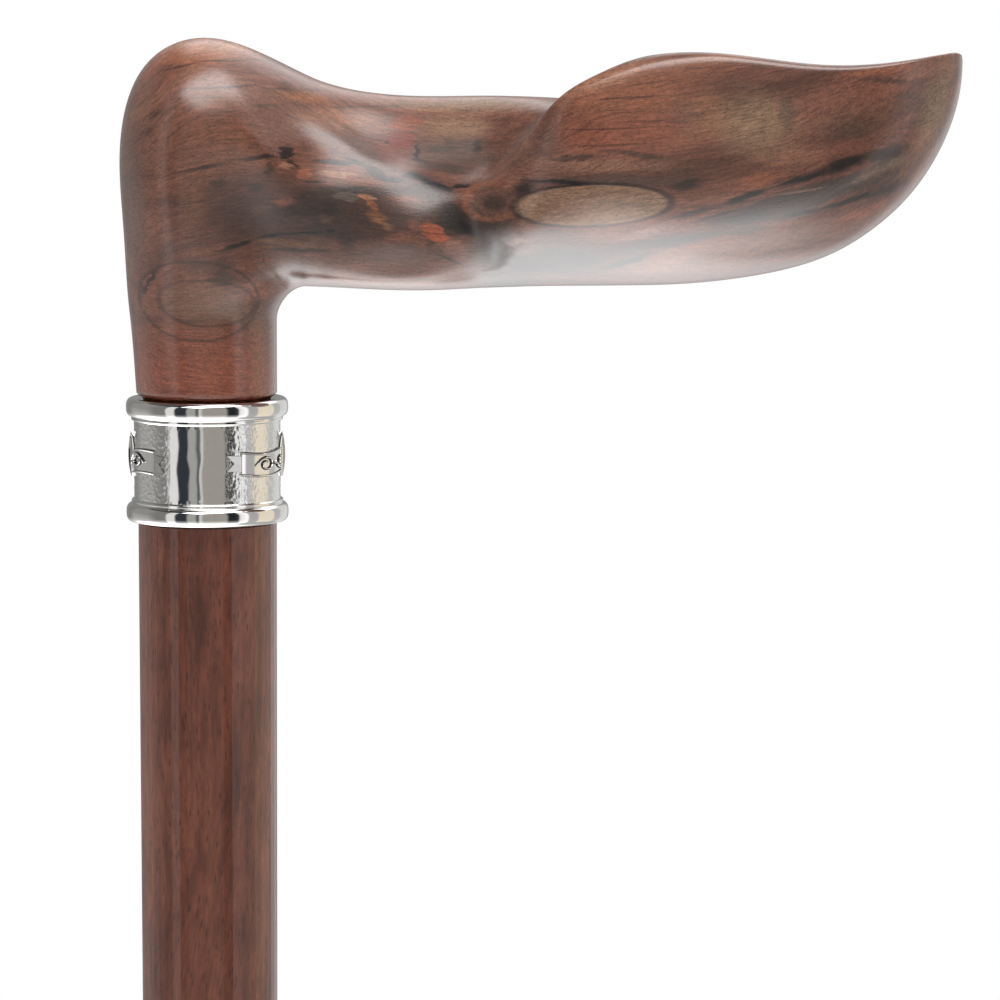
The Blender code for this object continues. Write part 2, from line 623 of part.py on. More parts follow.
def main():
    for old in list(bpy.data.objects):
        bpy.data.objects.remove(old)
    handle_wood = material("carved_hardwood", (0.150, 0.062, 0.036), 0.28)
    shaft_wood = material("stained_shaft_wood", (0.105, 0.045, 0.030), 0.25)
    nickel = material("nickel_plate", (0.74, 0.72, 0.68), 0.12, 1.0)
    steel = material("zinc_plated_steel", (0.56, 0.57, 0.58), 0.35, 1.0)
    brass = material("brass", (0.80, 0.58, 0.25), 0.30, 1.0)
    rubber = material("black_rubber", (0.020, 0.019, 0.018), 0.75)
    palm_handle(handle_wood)
    threaded_insert(brass)
    hanger_bolt(steel)
    collar(nickel)
    shaft(shaft_wood)
    rubber_tip(rubber)
    tip_washer(steel)


main()
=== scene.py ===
"""The looks of a walking cane: a carved and varnished walnut palm grip, a nickel-plated collar with a
ribbon in relief, a stained wooden shaft and a black rubber tip, in a white studio."""

import math

import bmesh
import bpy
from mathutils import Matrix, Vector, noise


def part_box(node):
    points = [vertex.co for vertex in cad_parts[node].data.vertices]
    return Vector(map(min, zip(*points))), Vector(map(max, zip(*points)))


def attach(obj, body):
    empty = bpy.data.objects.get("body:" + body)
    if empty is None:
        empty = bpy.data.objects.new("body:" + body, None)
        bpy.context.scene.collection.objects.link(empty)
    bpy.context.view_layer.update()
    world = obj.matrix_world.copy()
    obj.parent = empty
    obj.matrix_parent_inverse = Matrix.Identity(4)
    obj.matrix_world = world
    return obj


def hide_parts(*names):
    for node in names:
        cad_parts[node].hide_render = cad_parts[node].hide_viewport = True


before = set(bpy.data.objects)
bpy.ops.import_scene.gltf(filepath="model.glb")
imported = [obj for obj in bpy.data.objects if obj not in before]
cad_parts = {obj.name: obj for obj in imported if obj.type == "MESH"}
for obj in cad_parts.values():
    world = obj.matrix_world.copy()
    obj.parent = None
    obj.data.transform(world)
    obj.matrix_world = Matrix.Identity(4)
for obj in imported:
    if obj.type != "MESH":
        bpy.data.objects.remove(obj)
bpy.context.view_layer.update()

MM = 0.001

# Heights of the joints between the pieces, read from the frame, in metres
COLLAR_FOOT_Z, COLLAR_TOP_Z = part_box("collar")[0].z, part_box("collar")[1].z
SEAT_Z = COLLAR_TOP_Z + 0.3 * MM
SHAFT_SHOULDER_Z = COLLAR_FOOT_Z - 0.3 * MM


# ---------- small helpers ----------


def linear(colour):
    """sRGB hex, such as "#6b4434", to linear red, green, blue and a full alpha."""
    channels = [int(colour[i : i + 2], 16) / 255 for i in (1, 3, 5)]
    return (*[c / 12.92 if c <= 0.04045 else ((c + 0.055) / 1.055) ** 2.4 for c in channels], 1.0)


def add(tree, kind, inputs=None, output=0, **settings):
    """Adds a node with its settings, sets or links its inputs, and returns the output asked for."""
    node = tree.nodes.new("ShaderNode" + kind)
    for name, value in settings.items():
        setattr(node, name, value)
    for socket, value in (inputs or {}).items():
        if isinstance(value, bpy.types.NodeSocket):
            tree.links.new(value, node.inputs[socket])
        else:
            node.inputs[socket].default_value = value
    return node.outputs[output] if node.outputs else None


def new_material(name):
    """A material with an empty node tree; returns both."""
    made = bpy.data.materials.new(name)
    made.use_nodes = True
    made.node_tree.nodes.clear()
    return made, made.node_tree


def surfaced(tree, colour, relief, strength, depth_mm, values, coat_too=False):
    """Gives the material its shader: a colour, a fine relief of so many mm, which the clear coat may follow
    too, and values that are the same all over."""
    normal = add(tree, "Bump", {"Strength": strength, "Distance": depth_mm * MM, "Height": relief})
    inputs = {"Base Color": colour, "Normal": normal, **values}
    if coat_too:
        inputs["Coat Normal"] = normal
    add(tree, "OutputMaterial", {"Surface": add(tree, "BsdfPrincipled", inputs)})


def millimetres(tree, origin=(0, 0, 0)):
    """The place on the piece in millimetres from an origin given in metres."""
    place = add(tree, "TexCoord", output="Object")
    moved = add(tree, "VectorMath", {0: place, 1: origin}, operation="SUBTRACT")
    return add(tree, "VectorMath", {0: moved, "Scale": 1 / MM}, operation="SCALE")


def stretched(tree, place, per_mm):
    """The place multiplied by how many cells of a pattern fit in a millimetre along each axis."""
    return add(tree, "VectorMath", {0: place, 1: per_mm}, operation="MULTIPLY")


def clouds(tree, place, per_mm, detail, roughness=0.5, output=0):
    """A soft cloudy pattern from 0 to 1, with so many cells per millimetre along each axis."""
    inputs = {"Vector": stretched(tree, place, per_mm), "Scale": 1.0, "Detail": detail, "Roughness": roughness}
    return add(tree, "TexNoise", inputs, output)


def faded(tree, value, low, high):
    """A smooth 0 to 1 as the value goes from low to high, or back where low is above high."""
    inputs = {0: value, 1: high, 2: low, 3: 1.0, 4: 0.0} if low > high else {0: value, 1: low, 2: high}
    return add(tree, "MapRange", inputs, interpolation_type="SMOOTHSTEP")


def scaled(tree, value, factor):
    """The value times a number or another value."""
    return add(tree, "Math", {0: value, 1: factor}, operation="MULTIPLY")


def stained(tree, under, colour, amount):
    """The colour under it, mixed towards another colour by an amount from 0 to 1."""
    over = colour if isinstance(colour, bpy.types.NodeSocket) else linear(colour)
    return add(tree, "Mix", {0: amount, 6: under, 7: over}, output=2, data_type="RGBA")


def shaded(tree, under, value, low, high):
    """The colour under it, darkened or lightened between two factors by a value from 0 to 1."""
    factor = add(tree, "MapRange", {0: value, 3: low, 4: high})
    return add(tree, "VectorMath", {0: under, "Scale": factor}, operation="SCALE")


def graded(tree, value, stops):
    """A colour by a value from 0 to 1, from stops of (value, linear colour) in rising order."""
    ramp = add(tree, "ValToRGB", {0: value})
    elements = ramp.node.color_ramp.elements
    for element, (at, colour) in zip(elements, (stops[0], stops[-1])):
        element.position, element.color = at, colour
    for at, colour in stops[1:-1]:
        elements.new(at).color = colour
    return ramp


# ---------- wood ----------

# How far the grain has risen above level, in mm, at places along the grip, in mm from the shaft's axis
GRAIN_RISE = [(-14, -15), (-8, -7), (0, -1), (6, 0), (16, -3), (30, -8), (48, -9), (64, -6), (88, 0), (108, 9),
              (122, 16)]
GRAIN_LEVEL_UNDER, GRAIN_FULL_OVER = 12, 54  # mm over the collar: where the grain starts to rise, and rises in full

# Figure in the handle's wood: name, kind, colour, middle, reach (both in mm: along the grip, away from the camera
# and over the collar), lean in degrees upwards to the right, and how strong it is. A reach of two numbers leaves
# out the one away from the camera. Later marks lie over earlier ones.
FIGURE = [
    ("red neck", "cloud", "#7c4330", (0, -8, 3), (20, 18, 9), 0, 0.9),
    ("brown of the head", "cloud", "#6b4434", (0, -12, 40), (14, 10), 0, 0.65),
    # Partly painted light: the top of the head is drawn tan and lighter where light from above falls on it, over the
    # wood's own colour.
    ("tan crown and painted top light of the head", "cloud", "#9a6a50", (0.1, -3, 57.2), (15.3, 3.54), 0, 0.85),
    ("orange rim of the crown", "cloud", "#8a5236", (-2.2, -8, 54.8), (9.9, 1.28), 0, 0.75),
    ("red shoulder", "cloud", "#7c4330", (-8.4, -6, 52.8), (2.4, 1.44), 42, 0.7),
    ("red-brown nape", "cloud", "#6a412f", (-8.5, -10, 48.5), (2.4, 3.84), 0, 0.6),
    ("grey-brown back of the head", "cloud", "#52382e", (-11.2, -9, 31.2), (2.6, 15.21), 0, 0.75),
    ("pale shoulder under the crown", "cloud", "#74503f", (5.2, -11, 49.2), (9.6, 2.87), 3, 0.6),
    ("first line of the head", "line", "#3a2119", (-3.4, -9, 53.2), (3.2, 0.21), 14, 0.7),
    ("second line of the head", "line", "#3a2119", (3.5, -8, 54.1), (5.1, 0.21), 0, 0.7),
    ("third line of the head", "line", "#37261f", (3.7, -11, 50.2), (6.7, 0.26), 3, 0.75),
    ("fourth line of the head", "line", "#37261f", (14.3, -5, 49.6), (4.8, 0.26), -4, 0.6),
    ("fifth line of the head", "line", "#3e2b24", (0.5, -13, 48.6), (3.8, 0.21), 3, 0.6),
    ("sixth line of the head", "line", "#3e2b24", (4.3, -13, 46.4), (3.2, 0.19), 6, 0.5),
    ("seventh line of the head", "line", "#3e2b24", (9.9, -10, 47.2), (2.6, 0.26), 0, 0.5),
    ("smudge on the nape", "cloud", "#382821", (-7.1, -12, 45.7), (2.4, 0.64), 21, 0.6),
    ("second smudge on the nape", "cloud", "#382821", (-8.5, -12, 43.2), (2.2, 0.8), 30, 0.5),
    ("red-brown cheek", "cloud", "#714633", (4.4, -14, 42.4), (7.3, 3.18), 3, 0.75),
    ("left blur of the long vein", "cloud", "#402c23", (-8.1, -12, 35.9), (2.6, 0.72), -8, 0.5),
    ("long vein of the head", "vein", "#1c1210", (-0.7, -14, 37.3), (5.7, 0.41), 10, 0.8),
    ("end of the long vein", "vein", "#231713", (8.1, -13, 38.8), (5.4, 0.35), 3, 0.75),
    ("orange top of the bar", "cloud", "#8a5638", (16.8, -5, 48.3), (5.1, 1.13), -8, 0.75),
    ("tan side of the bar", "cloud", "#83573f", (20.5, -5, 44.7), (7.5, 2.2), -4, 0.85),
    ("line along the bar", "line", "#413027", (26.9, -1, 46.5), (8.1, 0.26), 0, 0.65),
    ("second line along the bar", "line", "#413027", (26.9, -2, 45.3), (5.5, 0.19), -4, 0.4),
    ("dark flow under the flecks", "cloud", "#50372d", (27.5, -11, 38.4), (14, 2.7), -26, 0.8),
    ("end of the dark flow", "cloud", "#2c1e1a", (36.3, -11, 33.6), (4.2, 2.4), -26, 0.85),
    ("dark root of the bar", "cloud", "#33231c", (37.5, -13, 29.2), (9, 4), 0, 0.85),
    ("dark left end of the belly", "cloud", "#271a16", (46, -14, 25.2), (4.6, 4), 0, 0.9),
    ("dark foot of the belly", "cloud", "#271a16", (48, -7, 20), (6, 20, 4), 0, 0.85),
    ("dusk over the belly", "cloud", "#45302a", (55.7, -20, 27.1), (5, 2), 3, 0.85),
    ("dusk under the bands", "cloud", "#4a3329", (88, -25, 32), (7, 1.6), 14, 0.8),
    ("dusk of the tip", "cloud", "#482f25", (118.7, -16, 43.3), (3, 5), 0, 0.7),
    ("brown of the stern", "cloud", "#5c3c2e", (104.2, -21, 46.5), (7, 3), 3, 0.95),
    ("dusk between the bands", "cloud", "#38261e", (109, -19, 40), (4, 2), 14, 0.7),
    ("red-brown over the band", "cloud", "#7e5441", (92.9, -24, 40), (6, 2), 3, 0.75),
    # The bloom named here is the painted reflection on the wing's front.
    ("red-brown by the painted reflection", "cloud", "#80563f", (80, -25, 46.5), (4, 4), 0, 0.75),
    ("dark heart", "cloud", "#33221d", (10.6, -12, 29.5), (14.7, 7.34), -4, 0.88),
    ("black of the heart", "patch", "#231713", (22.7, -13, 30.2), (9.9, 4.3), -8, 0.75),
    ("red-brown left of the heart", "cloud", "#633f2e", (-1.4, -14, 32.2), (2.1, 5.73), 0, 0.6),
    ("first cloud in the heart", "cloud", "#6b4030", (13.1, -12, 32.1), (1.9, 0.96), 0, 0.75),
    ("second cloud in the heart", "cloud", "#50372c", (9.3, -12, 30.8), (2.2, 0.96), 10, 0.6),
    ("third cloud in the heart", "cloud", "#553c2f", (19.5, -13, 29.6), (1.4, 0.8), 0, 0.6),
    ("fourth cloud in the heart", "cloud", "#4d342b", (15.4, -12, 28.9), (2.4, 0.96), 6, 0.5),
    ("dark cloud in the heart", "cloud", "#19110f", (20.1, -13, 31.2), (1.4, 1.59), 0, 0.7),
    ("dark under the vein", "cloud", "#1f1713", (8.7, -13, 34.3), (1.4, 0.8), 0, 0.7),
    ("dark under the vein's start", "cloud", "#271c18", (3, -14, 34.7), (1.3, 1.12), 0, 0.6),
    ("orange cloud of the heart", "cloud", "#40271f", (30.3, -13, 29.9), (4.5, 2.07), -26, 0.7),
    ("amber cloud of the heart", "cloud", "#84532f", (27.5, -13, 29.6), (1.6, 0.96), -26, 0.55),
    ("amber tail", "cloud", "#8a5c3c", (29, -13, 28.3), (1.6, 0.57), -26, 0.5),
    ("rust by the red knot", "cloud", "#6e4232", (33.5, -13, 28), (1.1, 1.27), 0, 0.7),
    ("black knot", "patch", "#100b0a", (13.2, -12, 39.7), (1.2, 1.04), 0, 0.9),
    ("left arm of the knot", "vein", "#191210", (9.7, -13, 39.1), (2.1, 0.41), 6, 0.7),
    ("leg of the knot", "cloud", "#1b1310", (10.6, -13, 36.9), (0.8, 1.43), 0, 0.8),
    ("right arm of the knot", "vein", "#130d0b", (14.4, -12, 37.8), (1.3, 0.51), -42, 0.85),
    ("tan speck in the knot", "patch", "#8a6048", (13.2, -12, 37.5), (1.1, 0.51), -26, 0.7),
    ("rust speck in the knot", "cloud", "#704534", (9.4, -13, 37.9), (1, 0.64), 0, 0.6),
    ("pink fleck", "patch", "#6d4432", (18.2, -10, 39.6), (1.8, 1.12), 0, 0.6),
    ("orange fleck", "patch", "#824b34", (16.3, -12, 36.2), (1.4, 0.8), -4, 0.95),
    ("sandy fleck", "patch", "#86604a", (21.1, -11, 36.2), (3, 0.57), -4, 0.9),
    ("black strip over the flecks", "vein", "#0a0806", (20.7, -11, 38), (3.8, 0.51), -4, 0.95),
    ("blue-black strip", "vein", "#0e0c0e", (24.2, -10, 38), (2.6, 0.54), -18, 0.8),
    ("blue-black hollow", "patch", "#0c0b0d", (27.1, -11, 36.4), (1.9, 0.8), -26, 0.85),
    ("blue-black foot", "vein", "#09090a", (30, -11, 35.2), (2.6, 0.48), -4, 0.95),
    ("hairline under the flecks", "line", "#0a0806", (17.6, -12, 34.9), (1.8, 0.18), 0, 0.9),
    ("second hairline", "line", "#0a0806", (24, -12, 34), (2.2, 0.24), 6, 0.9),
    ("dark band under the strip", "cloud", "#1d1512", (29, -12, 33.6), (11.5, 1.04), 0, 0.75),
    ("orange specks", "patch", "#8c5d42", (25.9, -12, 32.7), (1.6, 0.41), -8, 0.9),
    ("more orange specks", "patch", "#844b30", (26.8, -13, 31.5), (1.3, 0.57), -35, 0.6),
    ("grey pitting", "patch", "#594d45", (22.7, -13, 32.7), (1.9, 0.72), -8, 0.6),
    ("tan top of the bar", "cloud", "#7a5c47", (42.3, 2, 46.7), (12.1, 1.46), 0, 0.85),
    ("olive tan of the bar", "cloud", "#7f614b", (39.8, -2, 43.4), (6.4, 2.09), 0, 0.75),
    ("olive patch", "cloud", "#4f3d33", (40.4, -6, 39.4), (7.4, 2.57), -8, 0.9),
    ("smoky streak in the olive patch", "cloud", "#352820", (39.2, -8, 37), (5.1, 0.8), -8, 0.8),
    ("dark spot in the olive patch", "cloud", "#191310", (43.6, -5, 40.3), (0.8, 1.29), 0, 0.8),
    ("dark line in the olive patch", "vein", "#281e19", (37.9, -5, 40), (4.2, 0.48), 3, 0.5),
    ("orange of the red patch", "patch", "#7a3f2a", (32.1, -2, 44), (2.7, 1.13), 3, 0.85),
    ("red patch", "patch", "#6b2f28", (31.5, -4, 41.5), (2.3, 1.61), -8, 0.9),
    ("red tail of the patch", "cloud", "#6d3e35", (30.2, -7, 38.8), (3.8, 1.44), -26, 0.65),
    ("dark dot by the red patch", "cloud", "#130e0b", (29.2, -5, 41), (0.5, 0.35), 0, 0.9),
    ("dark edge of the red patch", "vein", "#0f0b0a", (34.1, -6, 39.4), (0.5, 1.93), 3, 0.9),
    ("dark foot of the red patch", "vein", "#130e0c", (34.7, -7, 38.2), (1.4, 0.42), -18, 0.8),
    # Painted shade: a dark cloud in the hollow fold where the wing rises from the bar.
    ("painted shade in the wing's fold", "cloud", "#271c16", (46.2, -17, 30.5), (5.4, 4.76), 0, 0.85),
    ("blue-grey smoke over the red knot", "cloud", "#161312", (39.9, -14, 29.6), (3.2, 2.39), -26, 0.85),
    ("black under the smoke", "cloud", "#0f0b0a", (41.8, -14, 27.8), (2.9, 1.11), -18, 0.8),
    ("outer arc of the whorl", "arc", "#754733", (46.2, -16, 32.3), (4.3, 2.7), 6, 0.8),
    ("inner arc of the whorl", "arc", "#674234", (46.8, -17, 32.1), (2.7, 1.59), 6, 0.6),
    ("red rim of the whorl", "cloud", "#7d4936", (42.7, -14, 32.8), (0.8, 1.12), 0, 0.7),
    ("black slit", "vein", "#050608", (33.5, -10, 35.8), (1.8, 0.7), -8, 0.98),
    ("blue black slit", "vein", "#060608", (37.3, -11, 34.5), (4, 0.54), -18, 0.98),
    ("end of the slit", "vein", "#080808", (41.1, -12, 34.3), (1.9, 0.41), 3, 0.9),
    ("red knot edge", "patch", "#87452d", (36.7, -14, 27.1), (2.5, 1.35), -26, 0.95),
    ("pink foot of the red knot edge", "patch", "#7d5548", (39.9, -14, 24.5), (2.2, 1.43), -42, 0.85),
    ("crack under the red knot edge", "line", "#0c0808", (38.9, -13, 22.9), (3.5, 0.24), -26, 0.9),
    ("dark speck by the crack", "cloud", "#1f1713", (36, -14, 25.2), (0.6, 0.64), 0, 0.7),
    ("red-brown underside", "cloud", "#664438", (27.1, -12, 21.3), (16.7, 20, 1.75), 0, 0.8),
    ("dusk over the underside", "cloud", "#4c352c", (29, -13, 23.9), (12, 1.9), 0, 0.8),
    ("dusk of the throat", "cloud", "#4a342b", (15.3, -10, 20.7), (5, 2.5), 0, 0.7),
    ("brown band", "cloud", "#5e3f2e", (13.7, -12, 25.4), (7.3, 0.8), -4, 0.85),
    ("dark line under the brown band", "vein", "#1f1612", (15.7, -12, 24.4), (7, 0.38), 0, 0.8),
    ("first black line", "vein", "#120c0b", (5.5, -12, 25.1), (3.5, 0.51), 14, 0.9),
    ("second black line", "vein", "#0d0908", (11.2, -11, 26.6), (3.5, 0.35), 10, 0.95),
    ("third black line", "vein", "#0d0908", (16.9, -13, 27.3), (4.1, 0.32), 3, 0.95),
    ("end of the black line", "patch", "#0c0807", (20.1, -13, 27.7), (0.8, 0.38), 0, 0.9),
    ("dark drop", "cloud", "#1b1310", (22.7, -13, 25.8), (1.6, 1.28), -35, 0.75),
    ("dark throat of the neck", "cloud", "#251a14", (2.9, -13, 20.3), (2.4, 3.51), 0, 0.7),
    ("dusky neck", "cloud", "#3d2922", (-0.9, -13, 21.9), (2.9, 1.59), 0, 0.5),
    ("red fleck of the neck", "cloud", "#69402f", (-2.5, -13, 20.3), (1.4, 0.8), 0, 0.7),
    ("diagonal vein of the neck", "vein", "#1c120f", (-8.4, -10, 19.2), (3.7, 0.45), 57, 0.85),
    ("orange front of the wing", "cloud", "#845038", (66.3, -23, 49.1), (12.9, 4.73), 6, 0.85),
    ("red front of the wing", "cloud", "#7b4634", (65.7, -24, 43.5), (12, 3.47), 0, 0.8),
    # Partly painted highlight: a light tan band along the wing's front rim, where its highlight falls, over the wood's
    # own tan.
    ("tan lip and painted highlight of the wing", "cloud", "#956850", (65.1, -23, 52.2), (8.2, 1.42), 21, 0.6),
    # Painted shade: a darker streak along the downward-facing side of the wing's folded edge.
    ("painted shade along the wing's fold", "cloud", "#52362c", (53.8, -20, 41.4), (3.8, 2.85), 57, 0.75),
    ("first line of the wing", "line", "#3d231b", (67.6, -23, 49.1), (6.3, 0.21), 3, 0.75),
    ("second line of the wing", "line", "#3d231b", (63.8, -23, 44.1), (7.3, 0.19), 3, 0.7),
    ("third line of the wing", "line", "#3d231b", (69.7, -24, 45.4), (4.7, 0.19), 3, 0.6),
    ("fourth line of the wing", "line", "#3d231b", (65.1, -24, 41.6), (6.6, 0.2), 3, 0.6),
    ("fifth line of the wing", "line", "#4d3025", (66.3, -24, 47.2), (5.4, 0.16), 3, 0.5),
    ("sixth line of the wing", "line", "#41291e", (71.6, -24, 51.3), (5.4, 0.19), 6, 0.5),
    ("brown under the wing's front", "cloud", "#74503e", (63.2, -24, 38.5), (12.6, 1.42), 0, 0.85),
    ("arch under the wing's front", "vein", "#30231f", (59.4, -23, 39.6), (5, 0.54), 6, 0.75),
    ("arch's right end", "vein", "#352821", (68.8, -25, 40.1), (5.7, 0.54), -8, 0.7),
    ("right end of the wing's front", "cloud", "#684839", (76.9, -25, 46), (2.5, 4.09), 30, 0.5),
    # Painted reflection: a lighter grey-brown patch on the wing's front where the overhead softbox shows faintly; the
    # marks named by the bloom lie round it.
    ("painted softbox reflection on the wing", "cloud", "#785f49", (87.6, -25, 44.8), (7.2, 5.2), 0, 0.85),
    ("smoke by the painted reflection", "cloud", "#47382f", (92.3, -24, 46.6), (1.4, 3.15), 0, 0.6),
    ("smoke over the painted reflection", "cloud", "#564135", (85.1, -24, 51), (4.1, 0.57), -8, 0.5),
    ("red-brown stern", "cloud", "#6b4333", (104.1, -21, 49.6), (8.2, 3.32), 0, 0.75),
    ("red edge of the stern", "cloud", "#86523c", (107.3, -19, 53), (7.9, 0.63), 6, 0.7),
    ("first vein of the stern", "vein", "#3a2922", (108.6, -19, 51.4), (5.4, 0.48), -4, 0.7),
    ("second vein of the stern", "vein", "#44332a", (111.2, -18, 48.9), (3.8, 0.35), -4, 0.5),
    ("dusky stern", "cloud", "#44332a", (101.5, -22, 44), (6.3, 2.21), 0, 0.5),
    ("olive tip", "cloud", "#6d5643", (115.8, -16, 47.5), (2.4, 6.36), -18, 0.75),
    ("orange over the band", "cloud", "#7d4932", (87.6, -25, 36), (4.7, 1.26), 14, 0.85),
    ("dark belly", "cloud", "#16110f", (56.4, -16, 22.8), (14.6, 20, 3.97), 3, 0.97),
    ("dark belly's right end", "cloud", "#181210", (70.8, -21, 25.7), (7.9, 20, 1.42), 14, 0.9),
    ("pink wedge over the belly", "cloud", "#80615a", (70.8, -23, 28), (5.4, 20, 0.79), 18, 0.85),
    ("between the bands", "patch", "#2c201b", (94.6, -24, 33.1), (11.7, 1.89), 18, 0.85),
    ("end between the bands", "cloud", "#372a22", (106.8, -20, 36.3), (6.3, 2.53), 21, 0.8),
    ("sandy grain between the bands", "cloud", "#6a4d3c", (105.4, -21, 36.7), (4.1, 0.79), 21, 0.7),
    ("second sandy grain", "cloud", "#634f3d", (109.3, -19, 38.5), (2.5, 0.95), 21, 0.6),
    ("tan hair between the bands", "line", "#7a5d4e", (94.6, -24, 34.4), (4.1, 0.22), 10, 0.6),
    ("foot of the upper band", "vein", "#1f191a", (77.6, -25, 31), (5.4, 0.63), 14, 0.8),
    ("start of the upper band", "vein", "#0c0a08", (86.1, -25, 33.5), (5, 0.8), 18, 0.97),
    ("upper band", "vein", "#0a0808", (94.6, -24, 36.3), (5.4, 0.79), 18, 0.97),
    ("wide part of the upper band", "vein", "#0d0b09", (101.5, -23, 38.7), (5.1, 1.34), 18, 0.95),
    ("end of the upper band", "cloud", "#1f1914", (108, -20, 40.1), (3.8, 1.11), 14, 0.8),
    ("thin band under it", "vein", "#110d0e", (82, -25, 30.6), (5, 0.35), 18, 0.8),
    ("lower band's left", "vein", "#1c1619", (84.6, -24, 29.8), (6.9, 1.4), 6, 0.75),
    ("lower band", "vein", "#0d0a09", (94.7, -23, 30.8), (4.7, 0.51), 14, 0.92),
    ("lower band's right", "vein", "#0f0b09", (102.3, -21, 32.6), (6, 0.6), 14, 0.92),
    ("end of the lower band", "cloud", "#201913", (108.8, -17, 34.3), (3.8, 1.11), 21, 0.8),
    ("black foot of the lower band", "vein", "#0c0a09", (67.7, -18, 22.9), (6.3, 0.67), 18, 0.92),
    ("dusky foot of the lower band", "vein", "#181211", (77.1, -23, 26.7), (6.9, 1.03), 14, 0.85),
    ("dusk under the lower band", "vein", "#2a1f1e", (85.9, -23, 28), (4.7, 0.79), 10, 0.7),
    ("pink keel", "cloud", "#664639", (88.4, -19, 24.5), (19, 20, 2.8), 14, 0.85),
    ("red keel", "vein", "#7e4936", (104.4, -18, 30.5), (6.3, 20, 0.87), 21, 0.85),
    ("smoke over the eye", "cloud", "#4a372e", (63.2, -25, 36), (14.5, 1.02), 0, 0.85),
    ("left end of the brow", "cloud", "#0f0c0c", (51.3, -20, 34.5), (2.5, 1.27), 21, 0.9),
    ("brow", "vein", "#0c0908", (56.9, -23, 35.9), (7.3, 0.41), 0, 0.9),
    ("wedge at the eye's end", "cloud", "#181210", (76.3, -26, 35.4), (3.1, 1.1), 6, 0.85),
    ("eye", "eye", "#7f604c", (61.3, -24, 32.2), (12.5, 3.31), 3, 0.98),
    ("brown half of the eye", "cloud", "#75513f", (57.5, -23, 31.5), (4.1, 1.89), 0, 0.5),
    ("outline of the eye", "ring", "#0c0b0d", (61.6, -24, 32.2), (12.7, 3.47), 3, 0.7),
    ("eye of the neck", "patch", "#634230", (0.5, -12, 15.6), (7.2, 3.3), -4, 0.75),
    ("outline of the neck's eye", "ring", "#251812", (0.5, -12, 15.8), (7.8, 3.7), -4, 0.5),
    ("arc round the neck's eye", "ring", "#281a14", (-1, -12, 16.2), (10, 12, 6.4), -4, 0.55),
    ("dark vein of the finger side", "vein", "#170f0d", (44, 12, 31), (40, 9, 2), 6, 0.8),
    ("second vein of the finger side", "vein", "#221612", (84, 12, 38), (30, 9, 1.3), -4, 0.7),
    ("tan streak of the finger side", "cloud", "#83583e", (30, 12, 42), (26, 3), 3, 0.8),
    ("finger side's heart", "cloud", "#2b1b14", (14, 13, 30), (15, 6, 7), 6, 0.75),
    ("dark heart of the palm dish", "cloud", "#312119", (84, -6, 44), (22, 7, 7), 3, 0.7),
    ("vein of the palm dish", "vein", "#18100d", (80, 2, 42), (26, 6, 1), 6, 0.7),
]
MARK_DEPTH = 14  # mm that a mark reaches into the wood where the list doesn't say

# Where the edge of each kind of mark starts and where it is full, in shares of the mark's reach
MARK_EDGE = {"cloud": (1.35, 0.25), "patch": (1.12, 0.82), "vein": (1.20, 0.35), "line": (1.25, 0.45),
             "eye": (1.02, 0.97)}
RING_WIDTH_MM = {"ring": 0.38, "arc": 0.75}
CALM_KINDS = ("line", "eye", "ring", "arc")  # marks whose edges don't fray


def figure_mark(tree, leaning, kind, middle, reach, lean):
    """0 to 1 inside an oval mark, from the place turned by its lean; for a ring or an arc, along its outline."""
    middle = Matrix.Rotation(math.radians(lean), 3, "Y") @ Vector(middle)
    start = [-m / r for m, r in zip(middle, reach)]
    inside = add(tree, "VectorMath", {0: leaning, 1: [1 / r for r in reach], 2: start}, operation="MULTIPLY_ADD")
    far = add(tree, "VectorMath", {0: inside}, "Value", operation="LENGTH")
    if kind not in RING_WIDTH_MM:
        return faded(tree, far, *MARK_EDGE[kind])
    width = RING_WIDTH_MM[kind] / reach[2]
    off = add(tree, "Math", {0: far, 1: 1.0}, operation="SUBTRACT")
    return faded(tree, add(tree, "Math", {0: off}, operation="ABSOLUTE"), width, 0.1 * width)


def astray(tree, start, place, per_mm, reach_mm, detail):
    """The start moved by an offset that drifts with the place, at most about half the reach each way."""
    drift = clouds(tree, place, per_mm, detail, output="Color")
    drift = add(tree, "VectorMath", {0: drift, 1: (0.5, 0.5, 0.5)}, operation="SUBTRACT")
    drift = add(tree, "VectorMath", {0: drift, 1: reach_mm}, operation="MULTIPLY")
    return add(tree, "VectorMath", {0: start, 1: drift}, operation="ADD")


def along_the_grain(tree, place):
    """The place in the wood's own layers: they arch over the head, sag along the bar and rise in the wing."""
    low_x, high_x = GRAIN_RISE[0][0], GRAIN_RISE[-1][0]
    rises = [rise for _, rise in GRAIN_RISE]
    low, high = min(rises), max(rises)
    across, _, upright = add(tree, "SeparateXYZ", {0: place}).node.outputs
    curve = add(tree, "FloatCurve", {1: add(tree, "MapRange", {0: across, 1: low_x, 2: high_x})})
    mapping = curve.node.mapping
    points = mapping.curves[0].points
    for _ in GRAIN_RISE[2:]:
        points.new(0.5, 0.5)
    for point, (x, rise) in zip(points, GRAIN_RISE):
        point.location = ((x - low_x) / (high_x - low_x), (rise - low) / (high - low))
    mapping.update()
    rise = add(tree, "MapRange", {0: curve, 3: -low, 4: -high})
    # The layers lie level under the neck's figure and lean in full near the top of the grip
    rise = scaled(tree, rise, faded(tree, upright, GRAIN_LEVEL_UNDER, GRAIN_FULL_OVER))
    return add(tree, "VectorMath", {0: place, 1: add(tree, "CombineXYZ", {2: rise})}, operation="ADD")


def pores(tree, place, per_mm):
    """1 inside the pores, which are vessels of the wood cut open lengthwise, and 0 between them."""
    return faded(tree, add(tree, "TexVoronoi", {"Vector": stretched(tree, place, per_mm), "Scale": 1.0}), 0.30, 0.12)


